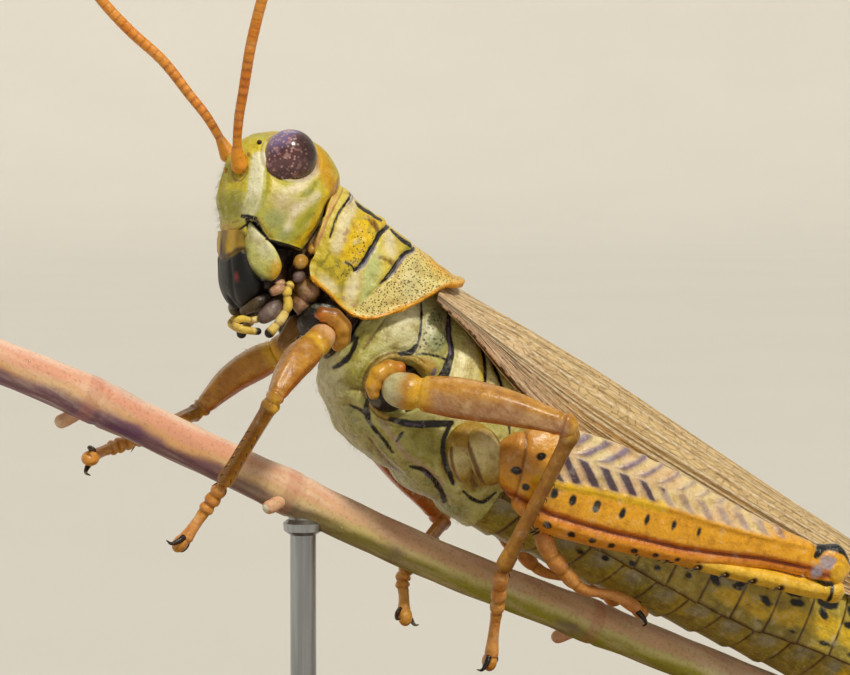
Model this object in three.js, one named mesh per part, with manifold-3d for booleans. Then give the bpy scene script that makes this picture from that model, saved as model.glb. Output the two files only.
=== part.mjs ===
// A differential grasshopper, adult female, as a still life-size model: it clings to a cut length of
// stem, which two rods hold over a flat base.
//
// Millimetres, +Z up. The head points to -X, and the insect's left side faces -Y. The origin is the
// centre of the underside of the stand's base. The insect is built in its body frame: x runs back
// along the body from the rear tip of the pronotum, y to the insect's right, z towards its back.
// The head has a frame of its own, with z up along the face and x towards the neck.

import * as THREE from 'three';
import { mergeVertices } from 'three/addons/utils/BufferGeometryUtils.js';
import Module from 'manifold-3d';

const wasm = await Module();
wasm.setup();

const V = (x, y, z) => new THREE.Vector3(x, y, z);
const radians = THREE.MathUtils.degToRad;

// ---------- Driving dimensions ----------

const BODY_PITCH = 31;              // degrees, head up
const BODY_ORIGIN = V(0.63, 0, 32.7);
const HEAD_YAW = 10;                // degrees, towards the insect's left
const HEAD_ROLL = 4;                // degrees, left side up
const HEAD_ORIGIN = V(-8.26, 0, -0.88);
const JOINT_CLEARANCE = 0.05;
const SHELL = 0.5;                  // thickness of the pronotum and the folded wings

const EYE = { centre: V(-2.12, 1.7, 2.82), size: V(1.4, 1.1, 1.27), tilt: 12 };
const ANTENNA_RADIUS = 0.26;

const PRONOTUM_FRONT = -8.36;
const THORAX_FRONT = -4.2;
const THORAX_REAR = 6.4;
const ABDOMEN_REAR = 30.4;
const ABDOMEN_RINGS = 9;
const OVIPOSITOR_LENGTH = 2.3;
const WING_TIP = 29.1;

const HIND_FEMUR = { length: 19.7, rise: 11.3, spread: 1.8 };   // degrees up and out from the body
const SPINES_PER_ROW = 7;
const SPINE_LENGTH = 0.75;

const STEM_RADIUS = 1.1;
const BASE = { length: 60, width: 36, height: 5, corner: 6, bevel: 0.6 };
const ROD_RADIUS = 0.65;
const ROD_SOCKET = 3;               // how deep a rod stands in the base
const ROD_PLACES = { front: -7.6, rear: 14 };

// ---------- Shape helpers ----------

/** Merges a geometry's shared vertices and turns its faces outwards. */
function closed(geometry) {
  geometry.deleteAttribute('normal');
  geometry.deleteAttribute('uv');
  const merged = mergeVertices(geometry, 1e-4);
  const spot = merged.attributes.position;
  const index = Array.from(merged.index.array);
  const corner = (i) => new THREE.Vector3().fromBufferAttribute(spot, index[i]);
  let volume = 0;
  for (let i = 0; i < index.length; i += 3) {
    volume += corner(i).dot(corner(i + 1).cross(corner(i + 2)));
  }
  if (volume < 0) merged.setIndex(index.reverse());
  return merged;
}

/** A closed skin through a row of sections, each of which maps an angle and a reach to a point. */
function loft(sections, sides) {
  const skin = new THREE.CylinderGeometry(1, 1, 1, sides, sections.length - 1);
  const spot = skin.attributes.position;
  for (let i = 0; i < spot.count; i++) {
    const row = Math.round((0.5 - spot.getY(i)) * (sections.length - 1));
    const angle = Math.atan2(spot.getX(i), spot.getZ(i));
    const point = sections[row](angle, Math.hypot(spot.getX(i), spot.getZ(i)));
    spot.setXYZ(i, point.x, point.y, point.z);
  }
  return closed(skin);
}

/** One section of a loft: a superellipse whose upper and lower halves may differ. */
function section(centre, side, up, down, upPower = 2, downPower = upPower) {
  return (angle, reach) => {
    const rise = Math.cos(angle);
    const lean = Math.sin(angle);
    const power = rise > 0 ? upPower : downPower;
    return centre.clone()
      .addScaledVector(side, reach * Math.sign(lean) * Math.abs(lean) ** (2 / power))
      .addScaledVector(rise > 0 ? up : down, reach * Math.abs(rise) ** (2 / power));
  };
}

/** Reads a table of [place, value, ...] rows at any place, along smooth curves. */
function reader(rows) {
  const slope = (i, k) => {
    const before = rows[Math.max(i - 1, 0)];
    const after = rows[Math.min(i + 1, rows.length - 1)];
    return (after[k] - before[k]) / (after[0] - before[0]);
  };
  return (place) => {
    const found = rows.findIndex((row) => row[0] > place);
    const i = found < 0 ? rows.length - 2 : Math.max(found - 1, 0);
    const span = rows[i + 1][0] - rows[i][0];
    const t = THREE.MathUtils.clamp((place - rows[i][0]) / span, 0, 1);
    const ease = t * t * (3 - 2 * t);
    return rows[i].slice(1).map((value, k) => value
      + (rows[i + 1][k + 1] - value) * ease
      + span * slope(i, k + 1) * t * (1 - t) ** 2
      - span * slope(i + 1, k + 1) * t * t * (1 - t));
  };
}

/** A stretch of the body, from rows of [x, top, bottom, half width, widest place, powers]. */
function trunk(rows, rings, sides, grow = 0) {
  const read = reader(rows);
  const front = rows[0][0];
  const rear = rows[rows.length - 1][0];
  const sections = Array.from({ length: rings + 1 }, (_, i) => {
    const x = front + (rear - front) * i / rings;
    const [top, bottom, width, waist, upPower, downPower] = read(x);
    const middle = bottom + (top - bottom) * waist;
    return section(V(x, 0, middle), V(0, width + grow, 0), V(0, 0, top + grow - middle),
      V(0, 0, bottom - grow - middle), upPower, downPower);
  });
  return loft(sections, sides);
}

/** A limb: a round-ended rod on a curve, from rows of [place, up, down, width] half sizes. */
function limb(points, rows, sides, rings, flank = V(0, 1, 0)) {
  const path = new THREE.CatmullRomCurve3(points);
  const read = reader(rows);
  const length = path.getLength();
  const sections = Array.from({ length: rings + 1 }, (_, i) => {
    const place = 0.5 - 0.5 * Math.cos(Math.PI * i / rings);
    const [up, down = up, width = up] = read(place);
    const toEnd = Math.min(place, 1 - place) * length;
    const round = Math.sqrt(1 - (1 - Math.min(toEnd / up + 0.06, 1)) ** 2);
    const along = path.getTangentAt(place);
    const side = flank.clone().addScaledVector(along, -flank.dot(along)).normalize();
    const rise = side.clone().cross(along);
    return section(path.getPointAt(place), side.multiplyScalar(width * round),
      rise.clone().multiplyScalar(up * round), rise.multiplyScalar(-down * round));
  });
  return loft(sections, sides);
}

/** A thin shell over a surface of two values from 0 to 1. */
function sheet(surface, thickness, lengthwise, across) {
  const slab = new THREE.BoxGeometry(1, 1, 1, lengthwise, 1, across);
  const spot = slab.attributes.position;
  const step = 0.01;
  for (let i = 0; i < spot.count; i++) {
    const u = THREE.MathUtils.clamp(spot.getX(i) + 0.5, step, 1 - step);
    const v = THREE.MathUtils.clamp(spot.getZ(i) + 0.5, step, 1 - step);
    const alongU = surface(u + step, v).sub(surface(u - step, v));
    const alongV = surface(u, v + step).sub(surface(u, v - step));
    const normal = alongU.cross(alongV).normalize();
    const point = surface(spot.getX(i) + 0.5, spot.getZ(i) + 0.5);
    point.addScaledVector(normal, spot.getY(i) * thickness);
    spot.setXYZ(i, point.x, point.y, point.z);
  }
  return closed(slab);
}

/** A plate cut to a side view outline of [x, z] points, from one y to another. */
function plate(outline, from, to, bevel = 0) {
  const shape = new THREE.Shape(outline.map(([x, z]) => new THREE.Vector2(x, z)));
  const solid = new THREE.ExtrudeGeometry(shape, {
    depth: to - from - 2 * bevel,
    bevelEnabled: bevel > 0,
    bevelThickness: bevel,
    bevelSize: bevel,
    bevelOffset: -bevel,
    bevelSegments: 1,
  });
  return closed(solid.rotateX(Math.PI / 2).translate(0, to - bevel, 0));
}

/** The solid of a closed geometry, ready for cuts and joins. */
function solid(geometry) {
  return new wasm.Manifold(new wasm.Mesh({
    numProp: 3,
    vertProperties: new Float32Array(geometry.attributes.position.array),
    triVerts: new Uint32Array(geometry.index.array),
  }));
}

/** The geometry of a solid. */
function skin(body) {
  const mesh = body.getMesh();
  const geometry = new THREE.BufferGeometry();
  geometry.setAttribute('position', new THREE.BufferAttribute(mesh.vertProperties, 3));
  geometry.setIndex(new THREE.BufferAttribute(mesh.triVerts, 1));
  return geometry;
}

/** Several closed geometries joined into one. */
function joined(...pieces) {
  return skin(pieces.map(solid).reduce((whole, piece) => whole.add(piece)));
}

/** A closed geometry made larger by a clearance on every side. */
function grown(geometry, clearance) {
  const larger = geometry.clone();
  larger.computeVertexNormals();
  const spot = larger.attributes.position;
  const normal = larger.attributes.normal;
  for (let i = 0; i < spot.count; i++) {
    spot.setXYZ(i, spot.getX(i) + normal.getX(i) * clearance,
      spot.getY(i) + normal.getY(i) * clearance, spot.getZ(i) + normal.getZ(i) * clearance);
  }
  larger.deleteAttribute('normal');
  return larger;
}

/** A geometry mirrored to the insect's other side. */
function mirrored(geometry) {
  return closed(geometry.clone().scale(1, -1, 1));
}

// ---------- The scene graph ----------

const model = new THREE.Group();
const insect = new THREE.Group();
insect.position.copy(BODY_ORIGIN);
insect.rotation.y = radians(BODY_PITCH);
const headFrame = new THREE.Group();
headFrame.position.copy(HEAD_ORIGIN);
headFrame.rotation.set(radians(-HEAD_ROLL), radians(-BODY_PITCH), radians(HEAD_YAW), 'YZX');
insect.add(headFrame);
model.add(insect);

const FINISHES = {
  head: { color: 0xb3aa45, roughness: 0.4 },
  eye: { color: 0x3d1d1c, roughness: 0.15 },
  antenna: { color: 0xc4742a, roughness: 0.5 },
  mouth: { color: 0x1f140e, roughness: 0.35 },
  palp: { color: 0xd9c46a, roughness: 0.45 },
  pronotum: { color: 0xd6b92f, roughness: 0.45 },
  neck: { color: 0x4a3418, roughness: 0.6 },
  thorax: { color: 0xb7b25e, roughness: 0.42 },
  abdomen: { color: 0xbfa53a, roughness: 0.45 },
  wing: { color: 0x9b7d4e, roughness: 0.55 },
  leg: { color: 0xc5892d, roughness: 0.4 },
  hindFemur: { color: 0xdfc27a, roughness: 0.4 },
  stem: { color: 0xb88f6d, roughness: 0.6 },
  wood: { color: 0x5b3d26, roughness: 0.5 },
  steel: { color: 0xb8babd, roughness: 0.3, metalness: 1 },
};
const meshes = {};

/** Adds one named piece to a frame. */
function addPiece(name, geometry, finish, frame = insect) {
  const mesh = new THREE.Mesh(geometry, new THREE.MeshStandardMaterial(FINISHES[finish]));
  mesh.name = name;
  meshes[name] = mesh;
  frame.add(mesh);
}

/** Adds a piece of the left side and its mirror image, as NAME_left and NAME_right. */
function addPair(name, leftGeometry, finish, frame = insect) {
  addPiece(`${name}_left`, leftGeometry, finish, frame);
  addPiece(`${name}_right`, mirrored(leftGeometry), finish, frame);
}

/** Cuts a piece back so that it clears its neighbours. */
function makeWay(name, ...neighbours) {
  model.updateMatrixWorld(true);
  const mesh = meshes[name];
  let body = solid(mesh.geometry);
  for (const neighbour of neighbours) {
    const other = meshes[neighbour];
    const toLocal = mesh.matrixWorld.clone().invert().multiply(other.matrixWorld);
    body = body.subtract(solid(grown(other.geometry, JOINT_CLEARANCE).applyMatrix4(toLocal)));
  }
  mesh.geometry = skin(body);
}

// ---------- Head ----------

/** A stack of level slices, from rows of [place, front x, front z, back x, back z, half width]. */
function stack(rows, rings, sides, frontPower, backPower) {
  const read = reader(rows);
  const sections = Array.from({ length: rings + 1 }, (_, i) => {
    const [frontX, frontZ, backX, backZ, width] = read(i / rings);
    const front = V(frontX, 0, frontZ);
    const back = V(backX, 0, backZ);
    const centre = front.clone().lerp(back, 0.48);
    return section(centre, V(0, width, 0), back.sub(centre), front.sub(centre), backPower, frontPower);
  });
  return loft(sections, sides);
}

function headCapsule() {
  return stack([
    [0.00, -4.6, -1.0, -2.2, -1.85, 2.3],
    [0.12, -4.98, -0.75, -1.3, -0.7, 2.72],
    [0.28, -5.05, 0.1, -0.5, 0.5, 2.85],
    [0.42, -5.08, 0.9, 0.9, 1.1, 2.78],
    [0.56, -4.92, 1.8, 1.2, 1.85, 2.4],
    [0.70, -4.58, 2.65, 0.9, 2.6, 2.1],
    [0.83, -4.18, 3.3, 0.35, 3.3, 1.8],
    [0.93, -3.78, 3.82, -0.4, 3.82, 1.35],
    [1.00, -3.2, 4.14, -1.1, 4.16, 0.7],
  ], 10, 18, 2.15, 2.4);
}

function eye() {
  return closed(new THREE.SphereGeometry(1, 12, 7)
    .rotateX(Math.PI / 2)
    .scale(EYE.size.x, EYE.size.y, EYE.size.z)
    .rotateY(radians(EYE.tilt))
    .translate(EYE.centre.x, -EYE.centre.y, EYE.centre.z));
}

/** Clypeus and labrum, the upper lip in front of the jaws. */
function labrum() {
  return stack([
    [0.00, -4.1, -4.65, -3.6, -4.6, 0.6],
    [0.15, -4.55, -4.05, -3.6, -4.1, 1.1],
    [0.40, -4.92, -3.2, -3.9, -3.2, 1.4],
    [0.62, -5.02, -2.3, -4.1, -2.3, 1.4],
    [0.85, -5.05, -1.5, -4.1, -1.5, 1.3],
    [1.00, -4.98, -1.05, -4.1, -1.05, 1.2],
  ], 6, 10, 2.3, 2.3);
}

function mandible() {
  return plate([
    [-4.45, -0.3], [-4.05, -0.45], [-3.5, -1.1], [-3.02, -1.95], [-2.95, -2.5], [-3.25, -2.9],
    [-4.0, -2.95], [-4.55, -2.5], [-4.75, -1.8], [-4.7, -1.0],
  ], -2.5, -1.2, 0.3);
}

/** The left jaw, whose front edge turns in towards the lip. */
function jaw() {
  const geometry = mandible();
  const spot = geometry.attributes.position;
  for (let i = 0; i < spot.count; i++) {
    spot.setY(i, spot.getY(i) * (1 - 0.24 * Math.max(0, -3.6 - spot.getX(i))));
  }
  return geometry;
}

/** Maxillae and labium, the dark mouthparts behind the jaws. */
function maxillae() {
  return stack([
    [0.00, -3.5, -4.95, -2.6, -4.9, 0.9],
    [0.25, -3.6, -4.3, -2.1, -4.2, 1.4],
    [0.60, -3.9, -3.1, -1.7, -3.0, 1.5],
    [1.00, -3.9, -2.0, -1.3, -1.7, 1.3],
  ], 4, 10, 2.4, 2.4);
}

const maxillaryPalp = [
  V(-2.0, -1.95, -2.7), V(-2.35, -2.0, -3.4), V(-2.5, -1.92, -4.1), V(-2.85, -1.72, -4.75), V(-3.35, -1.3, -5.7),
];
const labialPalp = [
  V(-3.3, -1.0, -4.7), V(-4.3, -1.15, -4.62), V(-4.98, -1.2, -4.78), V(-5.14, -1.25, -5.1), V(-4.7, -1.35, -5.38),
  V(-4.0, -1.5, -5.42),
];
const palp = (points) => limb(points, [[0, 0.27], [0.5, 0.25], [1, 0.28]], 6, 6);

const leftAntenna = [
  V(-4.35, -0.95, 2.3), V(-4.6, -1.2, 3.4), V(-4.68, -1.7, 4.56), V(-4.62, -2.3, 6.0), V(-4.55, -3.05, 7.8),
  V(-4.37, -3.65, 9.3), V(-4.0, -4.6, 11.6), V(-3.6, -5.5, 13.9), V(-3.3, -6.0, 15.3),
];
const rightAntenna = [
  V(-4.4, 0.75, 2.6), V(-4.6, 0.85, 3.5), V(-5.12, 1.25, 4.9), V(-5.85, 1.6, 6.0), V(-7.0, 2.1, 7.7),
  V(-8.5, 2.55, 9.2), V(-9.7, 2.9, 10.6), V(-10.7, 3.25, 12.1), V(-11.4, 3.45, 13.5),
];
const antenna = (points) => limb(points, [
  [0, 0.46], [0.05, 0.46], [0.09, 0.34], [0.2, ANTENNA_RADIUS], [1, ANTENNA_RADIUS * 0.97],
], 6, 12);

addPiece('head', headCapsule(), 'head', headFrame);
addPair('eye', eye(), 'eye', headFrame);
addPiece('antenna_left', antenna(leftAntenna), 'antenna', headFrame);
addPiece('antenna_right', antenna(rightAntenna), 'antenna', headFrame);
addPiece('labrum', labrum(), 'mouth', headFrame);
addPair('mandible', jaw(), 'head', headFrame);
addPiece('maxillae', maxillae(), 'mouth', headFrame);
addPair('maxillary_palp', palp(maxillaryPalp), 'palp', headFrame);
addPair('labial_palp', palp(labialPalp), 'palp', headFrame);

// ---------- Pronotum, prothorax, thorax and abdomen ----------

// Rows are [x, top, bottom, half width, widest place, upper power, lower power].
const PRONOTUM_ROWS = [
  [-8.7, 0.95, -7.5, 2.75, 0.4, 2.5, 2.2],
  [-7.0, 0.9, -7.5, 2.8, 0.4, 2.6, 2.2],
  [-5.0, 0.62, -7.5, 2.78, 0.4, 2.7, 2.2],
  [-3.0, 0.42, -7.5, 3.05, 0.4, 2.7, 2.2],
  [-1.0, 0.2, -7.5, 3.3, 0.4, 2.7, 2.2],
  [0.3, 0.0, -7.5, 3.35, 0.4, 2.7, 2.2],
];

/** The saddle over the prothorax, cut to its side view outline. */
function pronotum() {
  const outline = [
    [-7.6, 1.8], [-7.85, 0.5], [-8.15, -0.7], [PRONOTUM_FRONT, -1.8], [-8.25, -2.9], [-7.85, -3.7],
    [-7.1, -3.98], [-6.2, -4.2], [-5.4, -4.42], [-4.5, -4.4], [-3.7, -3.95], [-2.7, -2.8], [-2.0, -1.8],
    [-1.3, -0.85], [-0.6, -0.4], [0.0, -0.1], [0.05, 1.8],
  ];
  const outer = solid(trunk(PRONOTUM_ROWS, 8, 18));
  const inner = solid(trunk(PRONOTUM_ROWS.map((row) => [row[0] * 1.05, ...row.slice(1)]), 4, 18, -SHELL));
  return skin(outer.intersect(solid(plate(outline, -4, 4))).subtract(inner));
}

/** The neck and the flesh of the first segment, under the pronotum. */
function prothorax() {
  return trunk([
    [-8.9, -0.6, -4.6, 1.6, 0.5, 2, 2],
    [-7.8, 0.0, -5.0, 2.05, 0.5, 2, 2],
    [-6.0, 0.1, -6.0, 2.25, 0.45, 2, 2],
    [THORAX_FRONT - JOINT_CLEARANCE, -0.1, -6.9, 2.3, 0.45, 2, 2],
  ], 4, 12);
}

/** The two wing-bearing segments. */
function thorax() {
  return trunk([
    [THORAX_FRONT, -0.7, -7.4, 2.25, 0.35, 2, 2.2],
    [-3.2, -0.75, -8.45, 2.7, 0.35, 2, 2.4],
    [-1.0, -1.2, -9.7, 3.15, 0.36, 1.9, 2.7],
    [2.0, -1.6, -10.1, 3.35, 0.38, 1.9, 2.7],
    [5.0, -1.8, -10.3, 3.2, 0.4, 1.9, 2.5],
    [THORAX_REAR, -1.9, -10.35, 2.9, 0.42, 1.9, 2.3],
  ], 8, 18);
}

// Rows are [x, top, bottom, half width, widest place].
const readAbdomen = reader([
  [6.4, -2.0, -10.3, 2.75, 0.4],
  [10, -2.2, -10.05, 2.7, 0.4],
  [16, -2.4, -9.6, 2.65, 0.42],
  [22, -2.5, -9.0, 2.5, 0.44],
  [26, -2.8, -8.6, 2.2, 0.46],
  [29, -3.2, -8.1, 1.75, 0.46],
  [30.4, -4.2, -7.3, 1.05, 0.46],
]);

/** The abdomen, a row of rings that each end in a low step. */
function abdomen() {
  const STEP = 0.1;
  const front = THORAX_REAR + JOINT_CLEARANCE;
  const pitch = (ABDOMEN_REAR - front) / ABDOMEN_RINGS;
  const sections = [];
  for (let i = 0; i < ABDOMEN_RINGS; i++) {
    for (const [share, lift] of [[0, 0], [0.92, STEP]]) {
      const x = front + (i + share) * pitch;
      const [top, bottom, width, waist] = readAbdomen(x);
      const middle = bottom + (top - bottom) * waist;
      sections.push(section(V(x, 0, middle), V(0, width + lift, 0), V(0, 0, top + lift - middle),
        V(0, 0, bottom - lift - middle), 2));
    }
  }
  return loft(sections, 12);
}

/** Two pairs of short hooked valves at the tip of the abdomen. */
function ovipositor() {
  const valve = (rise) => limb([
    V(ABDOMEN_REAR - 1.2, 0, -5.8 + rise * 0.4),
    V(ABDOMEN_REAR + OVIPOSITOR_LENGTH * 0.5, 0, -5.8 + rise * 0.6),
    V(ABDOMEN_REAR + OVIPOSITOR_LENGTH, 0, -5.8 + rise * 1.3),
  ], [[0, 0.7, 0.7, 0.8], [0.6, 0.62, 0.62, 0.62], [1, 0.26, 0.26, 0.35]], 8, 5);
  return joined(valve(1), valve(-1));
}

addPiece('pronotum', pronotum(), 'pronotum');
addPiece('prothorax', prothorax(), 'neck');
addPiece('thorax', thorax(), 'thorax');
addPiece('abdomen', abdomen(), 'abdomen');
addPiece('ovipositor', ovipositor(), 'abdomen');

// ---------- Folded wings ----------

// Rows are [x, ridge height, fold y, fold height, lower edge y, lower edge height].
const readWing = reader([
  [-1.6, -0.45, 2.7, -1.5, 2.9, -1.7],
  [0.5, -0.42, 2.6, -1.7, 3.05, -2.1],
  [4.0, -0.38, 2.45, -1.95, 3.1, -3.2],
  [9.0, -0.36, 2.3, -2.15, 3.0, -4.2],
  [15.0, -0.6, 2.15, -2.2, 2.9, -4.4],
  [21.0, -0.85, 1.95, -2.2, 2.7, -4.2],
  [25.5, -1.0, 1.5, -2.05, 2.0, -3.65],
  [28.0, -1.3, 0.9, -1.85, 1.2, -2.75],
  [29.1, -1.6, 0.35, -1.8, 0.45, -2.05],
]);

/** A folded forewing: its upper field slopes from the ridge, its side field hangs from a fold. */
function tegmen() {
  const FRONT = -1.5;
  const FOLD = 0.4;
  const RIDGE_GAP = 0.06;
  return sheet((u, v) => {
    const x = FRONT + (WING_TIP - FRONT) * u;
    const [ridge, foldY, foldZ, edgeY, edgeZ] = readWing(x);
    const inner = Math.min(v / FOLD, 1);
    const outer = Math.max((v - FOLD) / (1 - FOLD), 0);
    const y = RIDGE_GAP + (foldY - RIDGE_GAP) * inner + (edgeY - foldY) * outer;
    return V(x, -y, ridge + (foldZ - ridge) * inner ** 1.5 + (edgeZ - foldZ) * outer);
  }, SHELL, 10, 5);
}

addPair('tegmen', tegmen(), 'wing');

// ---------- Legs ----------

const TARSUS_ROWS = [
  [0, 0.3], [0.12, 0.45], [0.24, 0.38], [0.36, 0.46], [0.48, 0.32], [0.7, 0.28], [0.88, 0.45], [1, 0.5],
];

/** A foot: padded segments along a curve, a soft lobe at the tip and a pair of claws beside it. */
function tarsus(points, claw) {
  const tip = points[points.length - 1];
  const along = tip.clone().sub(points[points.length - 2]).normalize();
  const apart = along.clone().cross(claw).normalize();
  const hook = (side) => limb([
    tip.clone().addScaledVector(along, -0.25).addScaledVector(apart, side * 0.25),
    tip.clone().addScaledVector(along, 0.2).addScaledVector(apart, side * 0.62),
    tip.clone().addScaledVector(along, 0.35).addScaledVector(apart, side * 0.7).addScaledVector(claw, 0.55),
  ], [[0, 0.2], [0.6, 0.15], [1, 0.09]], 4, 2);
  return joined(limb(points, TARSUS_ROWS, 6, 9), hook(1), hook(-1));
}

/** A walking leg of four pieces; `at` holds its joints, from the body wall to the foot. */
function walkingLeg(name, at, stout) {
  addPiece(`${name}_coxa`, limb([at.wall, at.coxa], [
    [0, stout * 1.3], [0.5, stout * 1.35], [1, stout],
  ], 10, 4), 'leg');
  addPiece(`${name}_femur`, limb([at.hip, at.hip.clone().lerp(at.knee, 0.5).add(at.bow), at.knee], [
    [0, stout * 0.8], [0.25, stout], [0.6, stout * 0.85], [0.88, stout * 0.62], [1, stout * 0.66],
  ], 8, 7), 'leg');
  addPiece(`${name}_tibia`, limb([at.knee, at.knee.clone().lerp(at.ankle, 0.5), at.ankle], [
    [0, 0.5], [0.15, 0.44], [0.8, 0.42], [1, 0.46],
  ], 7, 5), 'leg');
  addPiece(`${name}_tarsus`, tarsus([at.ankle, ...at.foot], at.claw), 'leg');
  makeWay(`${name}_coxa`, 'thorax', 'prothorax', 'pronotum');
  makeWay(`${name}_femur`, `${name}_coxa`, 'thorax');
  makeWay(`${name}_tibia`, `${name}_femur`);
  makeWay(`${name}_tarsus`, `${name}_tibia`);
}

walkingLeg('fore_left', {
  wall: V(-5.8, -1.6, -5.2), coxa: V(-5.75, -3.3, -5.6), hip: V(-5.85, -3.6, -5.9), knee: V(-6.95, -6.2, -10.1),
  bow: V(-0.25, -0.2, 0), ankle: V(-6.1, -2.4, -14.7),
  foot: [V(-6.07, -1.95, -15.8), V(-6.14, -1.8, -17.0), V(-6.24, -1.8, -18.1)], claw: V(-0.6, 0.5, 0),
}, 1.05);
walkingLeg('fore_right', {
  wall: V(-5.8, 1.6, -5.2), coxa: V(-5.85, 3.3, -5.9), hip: V(-5.95, 3.5, -6.3), knee: V(-7.3, 4.7, -12.0),
  bow: V(-0.3, 0.4, 0), ankle: V(-10.1, 1.95, -15.0),
  foot: [V(-10.7, 1.6, -15.6), V(-11.3, 1.2, -16.2), V(-11.85, 0.5, -16.75)], claw: V(0.5, -0.6, 0),
}, 1.05);
walkingLeg('mid_left', {
  wall: V(-1.5, -2.4, -6.7), coxa: V(-1.4, -4.15, -6.5), hip: V(-0.9, -4.7, -6.3), knee: V(6.2, -8.0, -4.0),
  bow: V(0, -0.1, 0.25), ankle: V(7.95, -4.0, -11.6),
  foot: [V(9.1, -2.8, -13.2), V(9.95, -2.1, -14.6), V(10.5, -1.9, -15.6)], claw: V(-0.4, 0.5, -0.3),
}, 1.15);
walkingLeg('mid_right', {
  wall: V(-1.5, 2.4, -6.7), coxa: V(-1.3, 4.1, -7.0), hip: V(-0.9, 4.4, -7.5), knee: V(7.4, 6.4, -10.4),
  bow: V(0.2, 0.3, -0.2), ankle: V(5.5, 2.0, -13.5),
  foot: [V(5.5, 1.6, -14.3), V(5.9, 1.3, -15.0), V(6.25, 0.9, -15.8)], claw: V(0.3, -0.6, 0.2),
}, 1.15);

// The hind leg lies folded along the body: its shin runs back under the thigh from the knee.
const HIP = V(4.5, -4.3, -6.75);
const KNEE = V(HIND_FEMUR.length, 0, 0)
  .applyAxisAngle(V(0, 0, 1), radians(-HIND_FEMUR.spread))
  .applyAxisAngle(V(0, -1, 0), radians(HIND_FEMUR.rise))
  .add(HIP);
const SHIN = [V(24.1, -4.9, -3.8), V(20.84, -4.8, -5.1), V(15.0, -4.6, -6.95), V(8.8, -4.4, -8.85)];
const FOOT = [V(8.9, -4.1, -9.3), V(10.1, -3.5, -9.7), V(11.9, -3.0, -10.0), V(13.6, -2.6, -10.0), V(16.0, -2.1, -9.85)];

function hindCoxa() {
  return limb([V(3.4, -1.8, -7.1), V(4.0, -4.0, -6.9)], [[0, 1.5], [0.6, 1.35], [1, 1.1]], 10, 4);
}

function hindFemur() {
  return limb([HIP, HIP.clone().lerp(KNEE, 0.5), KNEE], [
    [0.00, 1.3, 1.3, 0.8], [0.10, 1.85, 1.75, 1.05], [0.22, 2.15, 2.05, 1.15], [0.36, 2.0, 1.8, 1.1],
    [0.54, 1.65, 1.3, 0.9], [0.70, 1.15, 0.95, 0.68], [0.80, 0.85, 0.8, 0.58], [0.90, 0.95, 0.9, 0.68],
    [0.96, 1.1, 1.1, 0.75], [1.00, 1.0, 1.0, 0.7],
  ], 12, 14);
}

/** The hind shin, with two rows of spines along its outer edge and four spurs at the ankle. */
function hindTibia() {
  const path = new THREE.CatmullRomCurve3(SHIN);
  let body = solid(limb(SHIN, [[0, 0.62], [0.08, 0.52], [0.5, 0.46], [0.9, 0.48], [1, 0.56]], 7, 8));
  const spine = (place, side, length) => {
    const cone = new THREE.ConeGeometry(0.17, length, 3).translate(0, length * 0.4, 0);
    const direction = V(-0.55, side * 0.55, -0.85).normalize();
    cone.applyQuaternion(new THREE.Quaternion().setFromUnitVectors(V(0, 1, 0), direction));
    const foot = path.getPointAt(place).addScaledVector(direction, 0.32);
    return solid(closed(cone.translate(foot.x, foot.y, foot.z)));
  };
  for (let i = 0; i < SPINES_PER_ROW; i++) {
    const place = 0.28 + 0.66 * i / (SPINES_PER_ROW - 1);
    for (const side of [-1, 1]) {
      body = body.add(spine(place, side, SPINE_LENGTH));
    }
  }
  return skin(body);
}

for (const side of ['left', 'right']) {
  const turn = (geometry) => (side === 'left' ? geometry : mirrored(geometry));
  addPiece(`hind_${side}_coxa`, turn(hindCoxa()), 'leg');
  addPiece(`hind_${side}_femur`, turn(hindFemur()), 'hindFemur');
  addPiece(`hind_${side}_tibia`, turn(hindTibia()), 'leg');
  addPiece(`hind_${side}_tarsus`, turn(tarsus(FOOT, V(-0.1, 0.3, -0.5))), 'leg');
}

// ---------- Perch and stand ----------

/** The centre line of the cut stem, a gentle S that falls to the right. */
const STEM_LINE = [
  V(-24.5, 0, 30.0), V(-19, 0, 27.7), V(-12.2, 0, 24.35), V(-6.5, 0, 21.5), V(-0.5, 0, 18.65),
  V(7, 0, 15.5), V(13.5, 0, 12.75), V(20.5, 0, 9.7),
];
const STEM_NODES = [0.14, 0.36, 0.71];

function perchStem() {
  const path = new THREE.CatmullRomCurve3(STEM_LINE);
  const RINGS = 16;
  const sections = Array.from({ length: RINGS + 1 }, (_, i) => {
    const place = i / RINGS;
    const swelling = STEM_NODES.reduce((sum, at) => sum + 0.2 * Math.exp(-(((place - at) / 0.03) ** 2)), 0);
    const radius = STEM_RADIUS + swelling;
    const along = path.getTangentAt(place);
    const rise = V(0, 1, 0).cross(along).multiplyScalar(radius);
    return section(path.getPointAt(place), V(0, radius, 0), rise, rise.clone().negate());
  });
  return loft(sections, 8);
}

function standBase() {
  const { length, width, height, corner, bevel } = BASE;
  const shape = new THREE.Shape();
  const x = length / 2 - bevel;
  const y = width / 2 - bevel;
  shape.moveTo(-x + corner, -y);
  shape.absarc(x - corner, -y + corner, corner, -Math.PI / 2, 0);
  shape.absarc(x - corner, y - corner, corner, 0, Math.PI / 2);
  shape.absarc(-x + corner, y - corner, corner, Math.PI / 2, Math.PI);
  shape.absarc(-x + corner, -y + corner, corner, Math.PI, Math.PI * 1.5);
  return closed(new THREE.ExtrudeGeometry(shape, {
    depth: height - 2 * bevel, bevelThickness: bevel, bevelSize: bevel, bevelSegments: 1, curveSegments: 3,
  }).translate(0, 0, bevel));
}

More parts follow.
